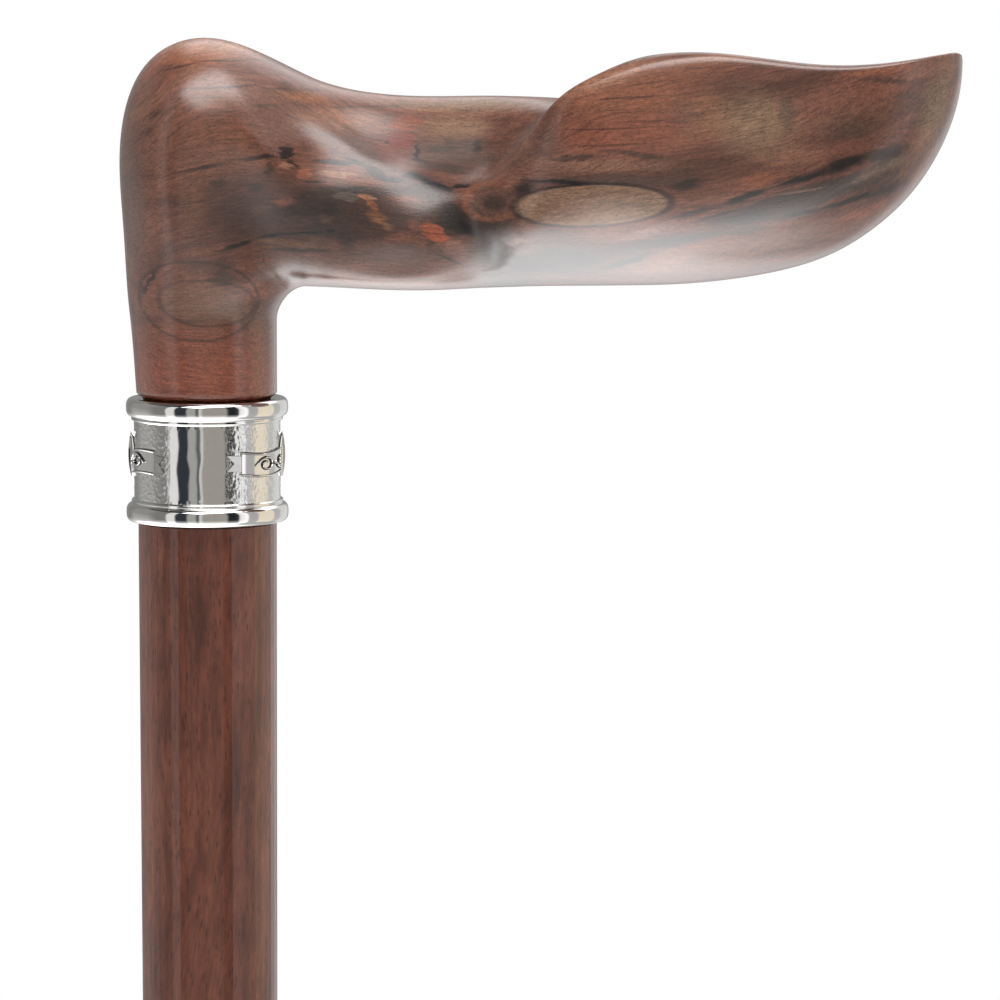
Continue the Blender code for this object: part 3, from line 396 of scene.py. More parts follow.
def figured_walnut():
    """Figured walnut, carved, sanded and varnished. Dark heartwood runs through red-brown wood in soft
    streaks along the grip, with short dark pores, under a clear coat that gives soft wide reflections."""
    made, tree = new_material("figured_walnut_varnished")
    place = millimetres(tree, (0, 0, SEAT_Z))
    layers = astray(tree, along_the_grain(tree, place), place, (0.03, 0.06, 0.06), (4, 6, 8), 1.0)

    # Bands about 60 mm long and 5 mm high, narrow ones of 30 by 1.5 mm, threads of the fibre 3 mm long and
    # 0.4 mm high, and specks of about 0.3 mm
    broad = clouds(tree, layers, (0.016, 0.10, 0.20), 2.0, 0.6)
    narrow = clouds(tree, layers, (0.035, 0.35, 0.70), 3.0, 0.6)
    thread = clouds(tree, layers, (0.30, 1.6, 2.6), 3.0, 0.65)
    speck = clouds(tree, layers, (1.6, 3.0, 3.2), 2.0, 0.7)

    tones = ((0.32, "#4c2e23"), (0.46, "#613b2d"), (0.56, "#6c4233"), (0.70, "#7a4f3b"))
    colour = graded(tree, broad, [(at, linear(tone)) for at, tone in tones])
    colour = shaded(tree, colour, faded(tree, narrow, 0.34, 0.66), 0.84, 1.10)

    # Year rings come to the surface as thin darker lines, here and there
    rings = scaled(tree, clouds(tree, layers, (0.012, 0.12, 0.30), 1.5, 0.4), 60.0)
    rings = faded(tree, add(tree, "Math", {0: rings}, operation="SINE"), 0.55, 0.98)
    rings = scaled(tree, rings, faded(tree, narrow, 0.42, 0.62))

    # The marks wander by half a millimetre, and the edges of most of them fray along the grain
    calm = astray(tree, place, place, (0.06, 0.06, 0.10), (1.6, 1.0, 1.0), 1.0)
    frayed = astray(tree, calm, layers, (0.30, 1.0, 1.5), (2.8, 1.2, 1.1), 3.0)
    turned = {}  # the place turned by each lean, which the marks of that lean share
    for name, kind, tone, middle, reach, lean, amount in FIGURE:
        stray = calm if kind in CALM_KINDS else frayed
        if (stray, lean) not in turned:
            angles = (0.0, math.radians(lean), 0.0)
            turned[stray, lean] = add(tree, "Mapping", {0: stray, 2: angles}, vector_type="POINT")
        if len(reach) == 2:
            reach = (reach[0], MARK_DEPTH, reach[1])
        mark = figure_mark(tree, turned[stray, lean], kind, middle, reach, lean)
        colour = stained(tree, colour, tone, scaled(tree, mark, amount))
        colour.node.label = name

    colour = shaded(tree, colour, rings, 1.0, 0.72)
    colour = shaded(tree, colour, faded(tree, thread, 0.30, 0.70), 0.74, 1.26)
    colour = shaded(tree, colour, faded(tree, speck, 0.28, 0.72), 0.78, 1.22)

    # The pores are about 0.15 mm wide and 1 mm long, drawn a little wider to show
    pore = pores(tree, layers, (1.0, 2.5, 2.9))
    colour = stained(tree, colour, "#1b100c", scaled(tree, pore, 0.62))
    dip = add(tree, "Math", {0: thread, 1: scaled(tree, pore, -0.7)}, operation="ADD")
    values = {"Roughness": 0.42, "IOR": 1.5, "Specular IOR Level": 0.25, "Coat Weight": 1.0, "Coat Roughness": 0.22,
              "Coat IOR": 1.5}
    surfaced(tree, colour, dip, 0.35, 0.03, values, coat_too=True)
    return made


def stained_shaft_wood():
    """Beech turned to a taper, stained red-brown and lacquered: short dark pore dashes along the shaft and
    soft darker clouds of stain under an even gloss."""
    made, tree = new_material("stained_beech_lacquered")
    place = millimetres(tree, (0, 0, SHAFT_SHOULDER_Z))
    # The grain wanders by a few mm along the shaft and runs about 3 degrees off its axis
    drift = clouds(tree, place, (0.05, 0.05, 0.02), 1.0, output="Color")
    drift = add(tree, "VectorMath", {0: drift, 1: (8, 8, 0)}, operation="MULTIPLY")
    grown = add(tree, "VectorMath", {0: place, 1: drift}, operation="ADD")
    grown = add(tree, "Mapping", {0: grown, 2: (math.radians(3), math.radians(-3), 0)})
    # Streaks 5 mm wide and 30 mm long, clouds of stain of 2 by 8 mm, and dashes of the fibre of 0.4 by 3 mm
    broad = clouds(tree, grown, (0.20, 0.20, 0.035), 3.0, 0.6)
    cloud = clouds(tree, grown, (0.55, 0.55, 0.12), 4.0, 0.65)
    dash = clouds(tree, grown, (2.4, 2.4, 0.32), 2.0, 0.55)
    tones = ((0.30, "#4a281d"), (0.48, "#603427"), (0.70, "#6f402e"))
    colour = graded(tree, broad, [(at, linear(tone)) for at, tone in tones])
    colour = shaded(tree, colour, faded(tree, cloud, 0.38, 0.62), 0.82, 1.10)
    colour = shaded(tree, colour, faded(tree, dash, 0.36, 0.64), 0.86, 1.10)
    # Real pores of beech are under 0.1 mm wide: they are drawn wider, 3 mm long, to show
    pore = pores(tree, grown, (1.5, 1.5, 0.30))
    colour = stained(tree, colour, "#2c1a15", scaled(tree, pore, 0.6))
    values = {"Roughness": 0.38, "IOR": 1.5, "Specular IOR Level": 0.25, "Coat Weight": 0.6, "Coat Roughness": 0.10,
              "Coat IOR": 1.5}
    surfaced(tree, colour, dash, 0.15, 0.02, values)
    return made


# ---------- metal and rubber ----------


def nickel(name, roughness, pebble_mm, tones=("#dedddb", "#d2d1cf")):
    """Bright nickel plate on cast metal, a little uneven in tone, with a grit that is too fine to model."""
    made, tree = new_material(name)
    place = millimetres(tree, (0, 0, COLLAR_FOOT_Z))
    colour = stained(tree, linear(tones[0]), tones[1], clouds(tree, place, (0.6, 0.6, 0.6), 3.0))
    grit = clouds(tree, place, (2.6, 2.6, 2.6), 3.0, 0.6)
    surfaced(tree, colour, grit, 1.0, pebble_mm, {"Metallic": 1.0, "Roughness": roughness})
    return made


def turned_metal(name, tones, roughness, per_mm):
    """Metal off the lathe: fine rings round it, a little lighter and darker, which catch the light."""
    made, tree = new_material(name)
    marks = clouds(tree, millimetres(tree), per_mm, 2.0)
    colour = stained(tree, linear(tones[0]), tones[1], marks)
    surfaced(tree, colour, marks, 0.4, 0.02, {"Metallic": 1.0, "Roughness": roughness})
    return made


def moulded_rubber():
    """Black natural rubber from a steel mould: a soft dark grey sheen, a fine matt grain and dust in it."""
    made, tree = new_material("natural_rubber_moulded")
    place = millimetres(tree)
    grain = clouds(tree, place, (3.0, 3.0, 3.0), 4.0, 0.7)
    dust = clouds(tree, place, (0.22, 0.22, 0.22), 5.0, 0.65)
    colour = stained(tree, linear("#1b1a19"), "#2c2a28", faded(tree, dust, 0.45, 0.75))
    colour = shaded(tree, colour, grain, 0.85, 1.15)
    surfaced(tree, colour, grain, 0.5, 0.06, {"Roughness": 0.62, "IOR": 1.52})
    return made


# ---------- the pieces ----------


def placed(name, data):
    """A new object in the scene."""
    made = bpy.data.objects.new(name, data)
    bpy.context.scene.collection.objects.link(made)
    return made


def finished(name, bm, finishes, body, node):
    """Turns a bmesh into a smooth-shaded piece that rides on the body and stands for a node of the frame."""
    mesh = bpy.data.meshes.new(name)
    bm.to_mesh(mesh)
    bm.free()
    for finish in finishes:
        mesh.materials.append(finish)
    mesh.shade_smooth()
    piece = placed(name, mesh)
    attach(piece, body)
    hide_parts(node)
    return piece


def skinned(bm, rings, finish, closed=True):
    """Faces between each row of corners and the next; their finish follows from the row and the place in it."""
    for row, (ring, after) in enumerate(zip(rings, rings[1:])):
        for j in range(len(ring) if closed else len(ring) - 1):
            k = (j + 1) % len(ring)
            bm.faces.new((ring[j], ring[k], after[k], after[j])).material_index = finish(row, j)


# How much further out, in mm, the carver left the near side of the grip than the lofted shape: a row for every
# 2.5 mm of height over the collar and a column for every 6 mm along the grip, with a smooth curve through them
FULLER_FOOT, FULLER_ROW = 13.5, 2.5
FULLER_LEFT, FULLER_COLUMN = 2.0, 6.0
FULLER = [
    (0.0, 0.0, 0.2, 0.4, 0.7, 0.7, 0.5, 0.4, 0.3, 0.2, 0.1, 0.0, 0.0, 0.0, 0.0),
    (0.0, 0.7, 1.6, 1.9, 2.2, 2.2, 1.6, 0.6, -0.1, -0.3, -0.2, -0.1, 0.0, 0.0, 0.0),
    (0.1, 1.3, 2.4, 2.7, 2.9, 2.5, 2.1, 0.5, -0.8, -0.9, -0.6, -0.2, 0.1, 0.1, 0.1),
    (-0.1, 1.2, 1.8, 1.1, -0.3, -1.3, -0.3, -0.4, -1.9, -1.6, -1.1, -0.5, 0.1, 0.3, 0.2),
    (0.0, 0.7, 0.3, -0.7, -1.1, -1.3, -1.0, -0.8, -1.9, -1.5, -1.3, -0.8, 0.1, 0.6, 0.3),
    (0.1, -0.2, -1.1, -1.5, -1.2, -0.3, -0.7, -0.5, -0.2, -0.5, -0.9, -0.6, 0.1, 0.3, 0.0),
    (0.0, -0.8, -1.8, -1.5, -1.0, -0.5, -0.6, 0.2, 0.7, 0.4, -0.2, -0.4, 0.3, 0.1, -0.2),
    (0.0, -1.4, -2.1, -1.2, -0.7, -0.9, -0.9, -0.2, 0.0, -0.1, -0.1, 0.0, 0.0, 0.1, -0.2),
    (0.0, -1.7, -2.0, -0.9, -0.7, -1.4, -0.6, -0.4, -0.9, -0.1, 1.0, 0.7, -0.2, -0.2, -0.3),
    (-0.1, -1.6, -1.8, -1.6, -1.3, -0.8, 0.6, -0.2, -1.1, -0.4, 0.6, 0.5, -0.1, -0.2, -0.2),
    (0.0, -1.1, -1.9, -2.4, -0.7, 0.7, 0.0, 0.0, -1.4, -0.9, -0.1, 0.1, 0.1, 0.1, 0.0),
    (0.0, -0.8, -1.6, -2.1, -1.1, -0.1, 0.5, 0.2, -1.9, -1.6, -0.4, 0.0, 0.1, 0.1, 0.1),
    (0.0, -0.6, -1.7, -1.9, -1.3, -0.4, 0.4, -0.1, -2.0, -1.9, -0.6, 0.0, 0.0, 0.0, 0.0),
    (0.0, -0.3, -2.1, -2.3, -1.6, -0.7, 0.0, -0.2, -1.0, -1.2, -0.4, 0.0, 0.0, 0.0, 0.0),
    (-0.3, -0.1, -1.3, -1.1, -0.5, -0.1, 0.0, 0.0, -0.1, -0.2, 0.0, 0.0, 0.0, 0.0, 0.0),
]
# The same in the narrow hollow of the throat: middle along the grip and over the collar, reach along both, and how
# much further out
THROAT = [(13.1, 19.8, 2.4, 6.5, 0.88), (17.3, 19.8, 2.4, 6.5, -0.75)]
NEAR_SIDE = 7 * MM  # nearer to the grip's middle plane than this, less and less of all this is added
NECK_TALL = 13 * MM  # and none on the neck below this


def bell(steps):
    """The weight of a row or column of the table that lies some steps away: a smooth bell that ends at two."""
    far = abs(steps)
    return (4 - 6 * far**2 + 3 * far**3) / 6 if far < 1 else max(2 - far, 0) ** 3 / 6


def fuller(place):
    """The place on the near side moved outwards as the tables say."""
    x, z = place.x / MM, (place.z - SEAT_Z) / MM
    up, along = (z - FULLER_FOOT) / FULLER_ROW, (x - FULLER_LEFT) / FULLER_COLUMN
    out = 0.0
    for row, amounts in enumerate(FULLER):
        if abs(up - row) < 2:
            out += bell(up - row) * sum(amount * bell(along - column) for column, amount in enumerate(amounts))
    for middle_x, middle_z, reach_x, reach_z, amount in THROAT:
        out += amount * math.exp(-(((x - middle_x) / reach_x) ** 2) - ((z - middle_z) / reach_z) ** 2)
    moved = place.copy()
    moved.y -= out * MM * min(max(-place.y / NEAR_SIDE, 0), 1)
    return moved


# The front edge of the raised rim is rounded over: how far back it is taken at the edge, and how far from the edge
# this reaches. It fades in and out along the grip. The rim lies nearer to the camera than RIM_SIDE.
ROLLED_BACK, ROLLED_REACH = 1.3 * MM, 2.6 * MM
ROLLED_FROM, ROLLED_FULL, ROLLED_LAST, ROLLED_TO = 46 * MM, 50 * MM, 70 * MM, 80 * MM
RIM_SIDE = -12 * MM


def far_from(line, place):
    """How far the place is from a line through points, seen from the side."""
    gaps = []
    for start, end in zip(line, line[1:]):
        run = end - start
        nearest = start.lerp(end, min(max((place - start).dot(run) / run.length_squared, 0), 1))
        gaps.append((place - nearest).xz.length)
    return min(gaps)


def rolled_rim(corners):
    """Takes the corners next to the raised rim's front edge back, so that the edge rolls over softly."""
    tops = {}
    for corner in corners:
        if corner.co.y < RIM_SIDE and ROLLED_FROM - 2 * MM < corner.co.x < ROLLED_TO + 8 * MM:
            key = round(corner.co.x / MM, 1)
            if key not in tops or corner.co.z > tops[key].z:
                tops[key] = corner.co.copy()
    rim = [tops[key] for key in sorted(tops)]
    for corner in corners:
        place = corner.co
        if place.y <= RIM_SIDE and ROLLED_FROM < place.x < ROLLED_TO:
            fade_in = (place.x - ROLLED_FROM) / (ROLLED_FULL - ROLLED_FROM)
            fade_out = (ROLLED_TO - place.x) / (ROLLED_TO - ROLLED_LAST)
            near = max(1 - far_from(rim, place) / ROLLED_REACH, 0)
            place.y += ROLLED_BACK * min(fade_in, fade_out, 1) * near**2


# The tip's upper corner is rounded in plan: the middle of its round, along the grip and over the collar, and its
# radius
TIP_X, TIP_UP, TIP_ROUND = 119.7 * MM, 53.5 * MM, 2.3 * MM
TURNED_END = 0.7 * MM  # the neck's turned end keeps its crisp edge up to this height over its seat


def carved_grip(finish):
    """The handle with its facets joined into one smooth skin; only the turned end under the neck stays crisp."""
    bm = bmesh.new()
    bm.from_mesh(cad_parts["palm_handle"].data)
    bmesh.ops.remove_doubles(bm, verts=bm.verts, dist=0.002 * MM)
    flat, square = math.radians(60), math.radians(70)
    bmesh.ops.join_triangles(bm, faces=bm.faces, angle_face_threshold=flat, angle_shape_threshold=square)
    bmesh.ops.recalc_face_normals(bm, faces=bm.faces)
    for corner in bm.verts:
        if corner.co.z > SEAT_Z + NECK_TALL:
            corner.co = fuller(corner.co)
    rolled_rim(bm.verts)
    for corner in bm.verts:
        out = Vector((corner.co.x - TIP_X, 0, corner.co.z - SEAT_Z - TIP_UP))
        if min(out.x, out.z) > 0 and out.length > TIP_ROUND:
            corner.co += out * (TIP_ROUND / out.length - 1)
    crease = bm.edges.layers.float.new("crease_edge")
    for edge in bm.edges:
        low = max(v.co.z for v in edge.verts) < SEAT_Z + TURNED_END
        if low and edge.calc_face_angle(0.0) > math.radians(30):
            edge[crease] = 1.0
    piece = finished("carved_grip", bm, [finish], "root", "palm_handle")
    skin = piece.modifiers.new("skin", "SUBSURF")
    skin.levels = skin.render_levels = 2


# ---------- the collar ----------

COLLAR_COLUMNS, BEAD_ROWS, BAND_ROWS = 448, 18, 78
BEAD_TALL, BEAD_PROUD = 3.0 * MM, 1.3 * MM
BEAD_FLAT = 0.70  # below 1, the bead's face is flatter than a circle
LEDGE_TALL, LEDGE_PROUD, LEDGE_SOFT = 0.6 * MM, 0.45 * MM, 0.12 * MM
BAND_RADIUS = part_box("collar")[1].x - BEAD_PROUD
BORE_RADIUS = BAND_RADIUS - 1.2 * MM
BAND_FOOT_Z, BAND_TOP_Z = COLLAR_FOOT_Z + BEAD_TALL + LEDGE_TALL, COLLAR_TOP_Z - BEAD_TALL - LEDGE_TALL
# The pebbles: the size of a pebble's cell, how far it stands up, and how steeply it falls from its middle; above 1,
# flat ground is left between them
PEBBLE_ACROSS, PEBBLE_DEEP, PEBBLE_FALL = 0.62 * MM, 0.06 * MM, 1.7
# The plain polished panel, in degrees round the band, where it goes over into the pebbled ground, in degrees and
# in height, and its waves
PANEL_FROM, PANEL_TO = -28, 17
PANEL_FADE, PANEL_RIM = 3.0, 0.9 * MM
WAVE_ACROSS, WAVE_DEEP = 2.4 * MM, 0.025 * MM

# The ribbon and its tails: degrees round the band, half height and how proud they stand. The ribbon's edge is given
# from its foot over its rolled rim to its sunk face, as (proud, in from the edge).
SUNK = -0.15 * MM  # how far the ornament's feet go into the band
FOOT_WIDE = 0.10 * MM  # how far the dark foot of the relief shows round it
DARK = 1  # the ornament's second finish
RIBBON_Z = (COLLAR_FOOT_Z + COLLAR_TOP_Z) / 2
RIBBON_FROM, RIBBON_TO, RIBBON_STEP = 30, 318, 1.5
RIBBON_HALF, RIBBON_PROUD = 1.95 * MM, 0.52 * MM
RIBBON_EDGE = [(SUNK, -FOOT_WIDE), (RIBBON_PROUD, 0.06 * MM), (RIBBON_PROUD + 0.05 * MM, 0.16 * MM),
               (RIBBON_PROUD, 0.30 * MM), (RIBBON_PROUD - 0.20 * MM, 0.38 * MM)]
RIBBON_WALLS = (0, 3, 5, 8)  # the steep faces across the ribbon, which are dark
RIBBON_RISE, RIBBON_WAVES = 0.28 * MM, 5
TAILS = [(RIBBON_FROM + 2, RIBBON_FROM - 12), (RIBBON_TO - 2, RIBBON_TO + 9)]
TAIL_HALF, TAIL_PROUD, TAIL_NOTCH = 1.25 * MM, 0.24 * MM, 0.42

# The running scroll, in degrees round the band and in height: its pitch and how much of the ribbon stays clear, its
# volutes and their stem, and how much wider than a line its dark foot is
STROKE_SIDES, STROKE_FOOT = 8, 1.6 * FOOT_WIDE
PER_METRE = math.degrees(1 / BAND_RADIUS)  # degrees for a length along the band
VINE_PITCH, VINE_CLEAR, VINE_PROUD = 24.0, 12, RIBBON_PROUD + 0.02 * MM
SCROLL_FROM, SCROLL_SWEEP, SCROLL_POINTS = 200, 450, 28
SCROLL_RADIUS, SCROLL_CLOSES, SCROLL_LONG, SCROLL_DOWN = 1.20 * MM, 0.62, 1.5, 0.1 * MM
SCROLL_LINE, SCROLL_THINS, STEM_LINE = 0.28 * MM, 0.25, 0.24 * MM
STEM_SWING, STEM_POINTS = 1.25 * MM, 12

# The upright leaves: where they stand, their foot, tip and half width, and their section as shares of that width
# and mm proud
LEAVES = (82, 278)
LEAF_LOW, LEAF_HIGH, LEAF_WIDE, LEAF_ROWS = -2.6 * MM, 4.6 * MM, 1.5 * MM, 16
LEAF_SECTION = ((-1, -0.1), (-0.8, 0.42), (-0.4, 0.72), (-0.12, 0.60), (0, 0.98), (0.12, 0.60), (0.4, 0.72),
                (0.8, 0.42), (1, -0.1))


def on_band(degrees, height, proud):
    """A point over the band: degrees round it from the side towards the camera, and its two heights."""
    turn = math.radians(degrees)
    radius = BAND_RADIUS + proud
    return Vector((radius * math.sin(turn), -radius * math.cos(turn), height))


def pebbles(degrees, height):
    """The casting's grain: small round bumps on the band. On the panel they are polished off by hand, which leaves
    it a little wavy."""
    place = on_band(degrees, height, 0.0)
    bumps = 1.0 - min(noise.voronoi(place / PEBBLE_ACROSS)[0][0] * PEBBLE_FALL, 1.0)
    side = (degrees + 180) % 360 - 180
    rim = min(BAND_TOP_Z - height, height - BAND_FOOT_Z) / PANEL_RIM
    rough = min(max((PANEL_FROM - side) / PANEL_FADE, (side - PANEL_TO) / PANEL_FADE, 1.0 - rim, 0.0), 1.0)
    wavy = noise.noise(place / WAVE_ACROSS) * min(max(rim, 0.0), 1.0)
    return PEBBLE_DEEP * bumps * rough + WAVE_DEEP * wavy * (1.0 - rough)


def collar_ring(polished, pebbled):
    """The cast ring: a round bead and a low ledge at each rim, and between them the pebbled band."""
    def bead(middle, start, end):
        points = []
        for i in range(BEAD_ROWS + 1):
            angle = math.radians(start + (end - start) * i / BEAD_ROWS)
            out, up = (math.copysign(abs(share) ** BEAD_FLAT, share) for share in (math.cos(angle), math.sin(angle)))
            points.append((BAND_RADIUS + BEAD_PROUD * out, middle + BEAD_TALL / 2 * up))
        return points

    def ledge(low, high):
        edge, soft = BAND_RADIUS + LEDGE_PROUD, LEDGE_SOFT
        return [(edge - soft, low), (edge, low + soft), (edge, high - soft), (edge - soft, high)]

    lower = [(BORE_RADIUS, COLLAR_FOOT_Z), *bead(COLLAR_FOOT_Z + BEAD_TALL / 2, -90, 66)]
    lower += ledge(COLLAR_FOOT_Z + BEAD_TALL, BAND_FOOT_Z)
    band = [(BAND_RADIUS, BAND_FOOT_Z + (BAND_TOP_Z - BAND_FOOT_Z) * i / BAND_ROWS) for i in range(BAND_ROWS + 1)]
    upper = ledge(BAND_TOP_Z, COLLAR_TOP_Z - BEAD_TALL)
    upper += [*bead(COLLAR_TOP_Z - BEAD_TALL / 2, -66, 90), (BORE_RADIUS, COLLAR_TOP_Z)]
    pebbled_rows = range(len(lower), len(lower) + BAND_ROWS)

    bm = bmesh.new()
    grid = []
    for row, (radius, height) in enumerate(lower + band + upper):
        ring = []
        for column in range(COLLAR_COLUMNS):
            degrees = 360 * column / COLLAR_COLUMNS
            proud = radius - BAND_RADIUS
            if row in pebbled_rows[1:]:
                proud += pebbles(degrees, height)
            ring.append(bm.verts.new(on_band(degrees, height, proud)))
        grid.append(ring)

    def finish(row, column):
        middle = (360 * (column + 0.5) / COLLAR_COLUMNS + 180) % 360 - 180
        return int(row in pebbled_rows and not PANEL_FROM < middle < PANEL_TO)

    skinned(bm, grid + grid[:1], finish)
    bmesh.ops.recalc_face_normals(bm, faces=bm.faces)
    finished("collar_ring", bm, [polished, pebbled], "root", "collar")


def ribbon_wave(degrees):
    """How far the ribbon's middle rises and falls as it runs round the band."""
    return RIBBON_RISE * math.sin(math.radians(degrees) * RIBBON_WAVES)


def banner(bm):
    """The ribbon: a raised strip round most of the band with a rolled rim along both edges."""
    section = [(-1.0, *edge) for edge in RIBBON_EDGE] + [(1.0, *edge) for edge in RIBBON_EDGE[::-1]]
    steps = int((RIBBON_TO - RIBBON_FROM) / RIBBON_STEP)
    rings = []
    for i in range(steps + 1):
        degrees = RIBBON_FROM + (RIBBON_TO - RIBBON_FROM) * i / steps
        middle = RIBBON_Z + ribbon_wave(degrees)
        rings.append([
            bm.verts.new(on_band(degrees, middle + side * (RIBBON_HALF - inset), out)) for side, out, inset in section
        ])
    skinned(bm, rings, lambda row, j: DARK if j in RIBBON_WALLS else 0)
    bm.faces.new(rings[0][::-1])
    bm.faces.new(rings[-1])


def swallow_tail(bm, near, far):
    """The ribbon's free end: two pointed tongues with a notch between them, lying lower than the ribbon."""
    for side in (-1, 1):
        notch = far - (far - near) * TAIL_NOTCH
        outline = [(near, 0.0), (near, side * TAIL_HALF), (far, side * TAIL_HALF), (notch, 0.0)]
        foot, top = [], []
        for degrees, up in outline:
            height = RIBBON_Z + ribbon_wave(degrees) + up
            foot.append(bm.verts.new(on_band(degrees, height + (side * FOOT_WIDE if up else 0.0), SUNK)))
            top.append(bm.verts.new(on_band(degrees, height, TAIL_PROUD)))
        skinned(bm, [foot, top], lambda row, j: DARK)
        bm.faces.new(top)
        bm.faces.new(foot[::-1])


def stroke(bm, path, widths, finish=0):
    """A rounded raised line along a path of (degrees, height in metres, proud in metres), on a wider dark foot."""
    if finish != DARK:
        lower = [(d, h, p - width / 2) for (d, h, p), width in zip(path, widths)]
        stroke(bm, lower, [width + STROKE_FOOT for width in widths], DARK)
    points = [on_band(d, RIBBON_Z + h, p) for d, h, p in path]
    rings = []
    for i, (point, width) in enumerate(zip(points, widths)):
        ahead = points[min(i + 1, len(points) - 1)] - points[max(i - 1, 0)]
        outward = Vector((point.x, point.y, 0)).normalized()
        across = ahead.cross(outward).normalized()
        ring = []
        for k in range(STROKE_SIDES):
            a = math.tau * k / STROKE_SIDES
            ring.append(bm.verts.new(point + (across * math.cos(a) + outward * math.sin(a)) * width / 2))
        rings.append(ring)
    skinned(bm, rings, lambda row, k: finish)
    for cap in (rings[0][::-1], rings[-1]):
        bm.faces.new(cap).material_index = finish


def vine(bm):
    """A running scroll on the ribbon: a stem in waves, and a volute that curls up in each wave."""
    count = int((RIBBON_TO - RIBBON_FROM - VINE_CLEAR) / VINE_PITCH)
    first = (RIBBON_FROM + RIBBON_TO) / 2 - VINE_PITCH * count / 2
    for i in range(count):
        middle = first + VINE_PITCH * (i + 0.5)
        side = 1 if i % 2 else -1
        wave = ribbon_wave(middle)
        path, widths, stem = [], [], []
        for k in range(SCROLL_POINTS + 1):
            share = k / SCROLL_POINTS
            angle = math.radians(SCROLL_FROM + SCROLL_SWEEP * share)
            radius = SCROLL_RADIUS * (1 - SCROLL_CLOSES * share)
            along = PER_METRE * radius * math.cos(angle) * SCROLL_LONG
            path.append((middle + along, wave + side * (radius * math.sin(angle) - SCROLL_DOWN), VINE_PROUD))
            widths.append(SCROLL_LINE * (1 - SCROLL_THINS * share))
        stroke(bm, path, widths)
        for k in range(STEM_POINTS + 1):
            share = k / STEM_POINTS - 0.5
            stem.append((middle + VINE_PITCH * share, wave - side * STEM_SWING * math.cos(math.pi * share), VINE_PROUD))
        stroke(bm, stem, [STEM_LINE] * len(stem))


def tall_leaf(bm, degrees):
    """An upright pointed leaf with a midrib that stands over the ribbon."""
    grid = []
    for i in range(LEAF_ROWS + 1):
        share = i / LEAF_ROWS
        height = RIBBON_Z + LEAF_LOW + (LEAF_HIGH - LEAF_LOW) * share
        # It is full a little under its middle and drawn out to a point, and lies down on the band at both ends
        half = LEAF_WIDE * math.sin(math.pi * min(share * 0.92 + 0.08, 1.0)) ** 0.7 * (1 - 0.35 * share)
        fall = math.sin(math.pi * (0.1 + 0.8 * share)) ** 0.5
        grid.append([
            bm.verts.new(on_band(degrees + PER_METRE * half * across, height, out * MM * fall))
            for across, out in LEAF_SECTION
        ])
    skinned(bm, grid, lambda row, k: 0, closed=False)
    for low, high in zip(grid, grid[1:]):
        bm.faces.new((low[-1], low[0], high[0], high[-1]))
    bm.faces.new(grid[0][::-1])
    bm.faces.new(grid[-1])


def collar_ornament(polished, darkened):
    """The ribbon in relief with its folded tails, the running scroll on it and a leaf at each side."""
    bm = bmesh.new()
    banner(bm)
    for near, far in TAILS:
        swallow_tail(bm, near, far)
    vine(bm)
    for degrees in LEAVES:
        tall_leaf(bm, degrees)
    bmesh.ops.recalc_face_normals(bm, faces=bm.faces)
    piece = finished("collar_ornament", bm, [polished, darkened], "root", "collar")
    piece.data.set_sharp_from_angle(angle=math.radians(40))


def finish_cad_node(node, finish, smooth=False):
    """Gives a node of the frame its finished material, and smooth shading where it is round and shows."""
    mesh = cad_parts[node].data
    mesh.materials.clear()
    mesh.materials.append(finish)
    if smooth:
        mesh.shade_smooth()
        mesh.set_sharp_from_angle(angle=math.radians(35))


# ---------- the studio ----------

# The walls of the room that the varnish and the metal mirror: from, to (degrees round the cane, 0 at the
# camera and positive to its right) and tone
WALLS = [
    (-180, -150, "#949494"),
    (-147, -60, "#8c8b89"),
    (-58, -46, "#ffffff"),
    (-44, -28, "#3a3f46"),
    (-26, -15, "#b9b9b5"),
    (-13, -10, "#67686a"),
    (-8.5, -6, "#e6e6e2"),
    (-4, 30, "#b2aea7"),
    (33, 48, "#2b2d31"),
    (50, 62, "#ffffff"),
    (65, 79, "#2b2d31"),
    (82, 112, "#c4b18d"),
    (114, 128, "#5c5c5a"),
    (132, 158, "#a0a09e"),
    (162, 180, "#949494"),
]
WALL_TOP, WALL_FOOT, WALL_SOFT = 42, -30, 3  # degrees of elevation
GLOOM_TONE = "#2c2d30"  # above and below the walls
# The lit white table below, seen from straight below (-90) up to the level: elevation in degrees and brightness.
# First all round, then where it differs, between two directions in degrees round the cane: ahead of the cane, to
# its left, where it reaches furthest, and to its right
TABLE = [
    (-180, 180, [(-90, 6.6), (-80, 6.1), (-70, 5.2), (-60, 4.1), (-50, 3.0), (-40, 1.9), (-30, 1.1),
                 (-22, 0.5), (-10, 0.0)]),
    (-60, 40, [(-90, 6.6), (-80, 6.7), (-70, 6.2), (-60, 5.2), (-50, 3.4), (-40, 2.0), (-30, 1.3),
               (-22, 0.5), (-10, 0.0)]),
    (-134, -85, [(-90, 6.6), (-70, 9.6), (-60, 9.6), (-50, 8.8), (-40, 6.8), (-30, 2.4), (-20, 0.5),
                 (0, 0.1)]),
    (55, 165, [(-90, 6.2), (-80, 5.2), (-70, 2.6), (-60, 1.2), (-50, 0.7), (-40, 0.5), (-25, 0.6), (0, 0.5)]),
]
TABLE_SOFT = 12
# The softbox overhead lies at 45 degrees to the cane: its edges on a level one metre up, in metres along its length
# and across it, how much its left edge runs askew, how soft its edges are, and its brightness
SOFTBOX_NEAR, SOFTBOX_FAR, SOFTBOX_RIGHT, SOFTBOX_LEFT, SOFTBOX_SKEW = -1.15, 0.31, -0.83, -0.215, 0.12
SOFTBOX_END_SOFT, SOFTBOX_SIDE_SOFT = 0.10, 0.06
SOFTBOX_GLOW = 7.0
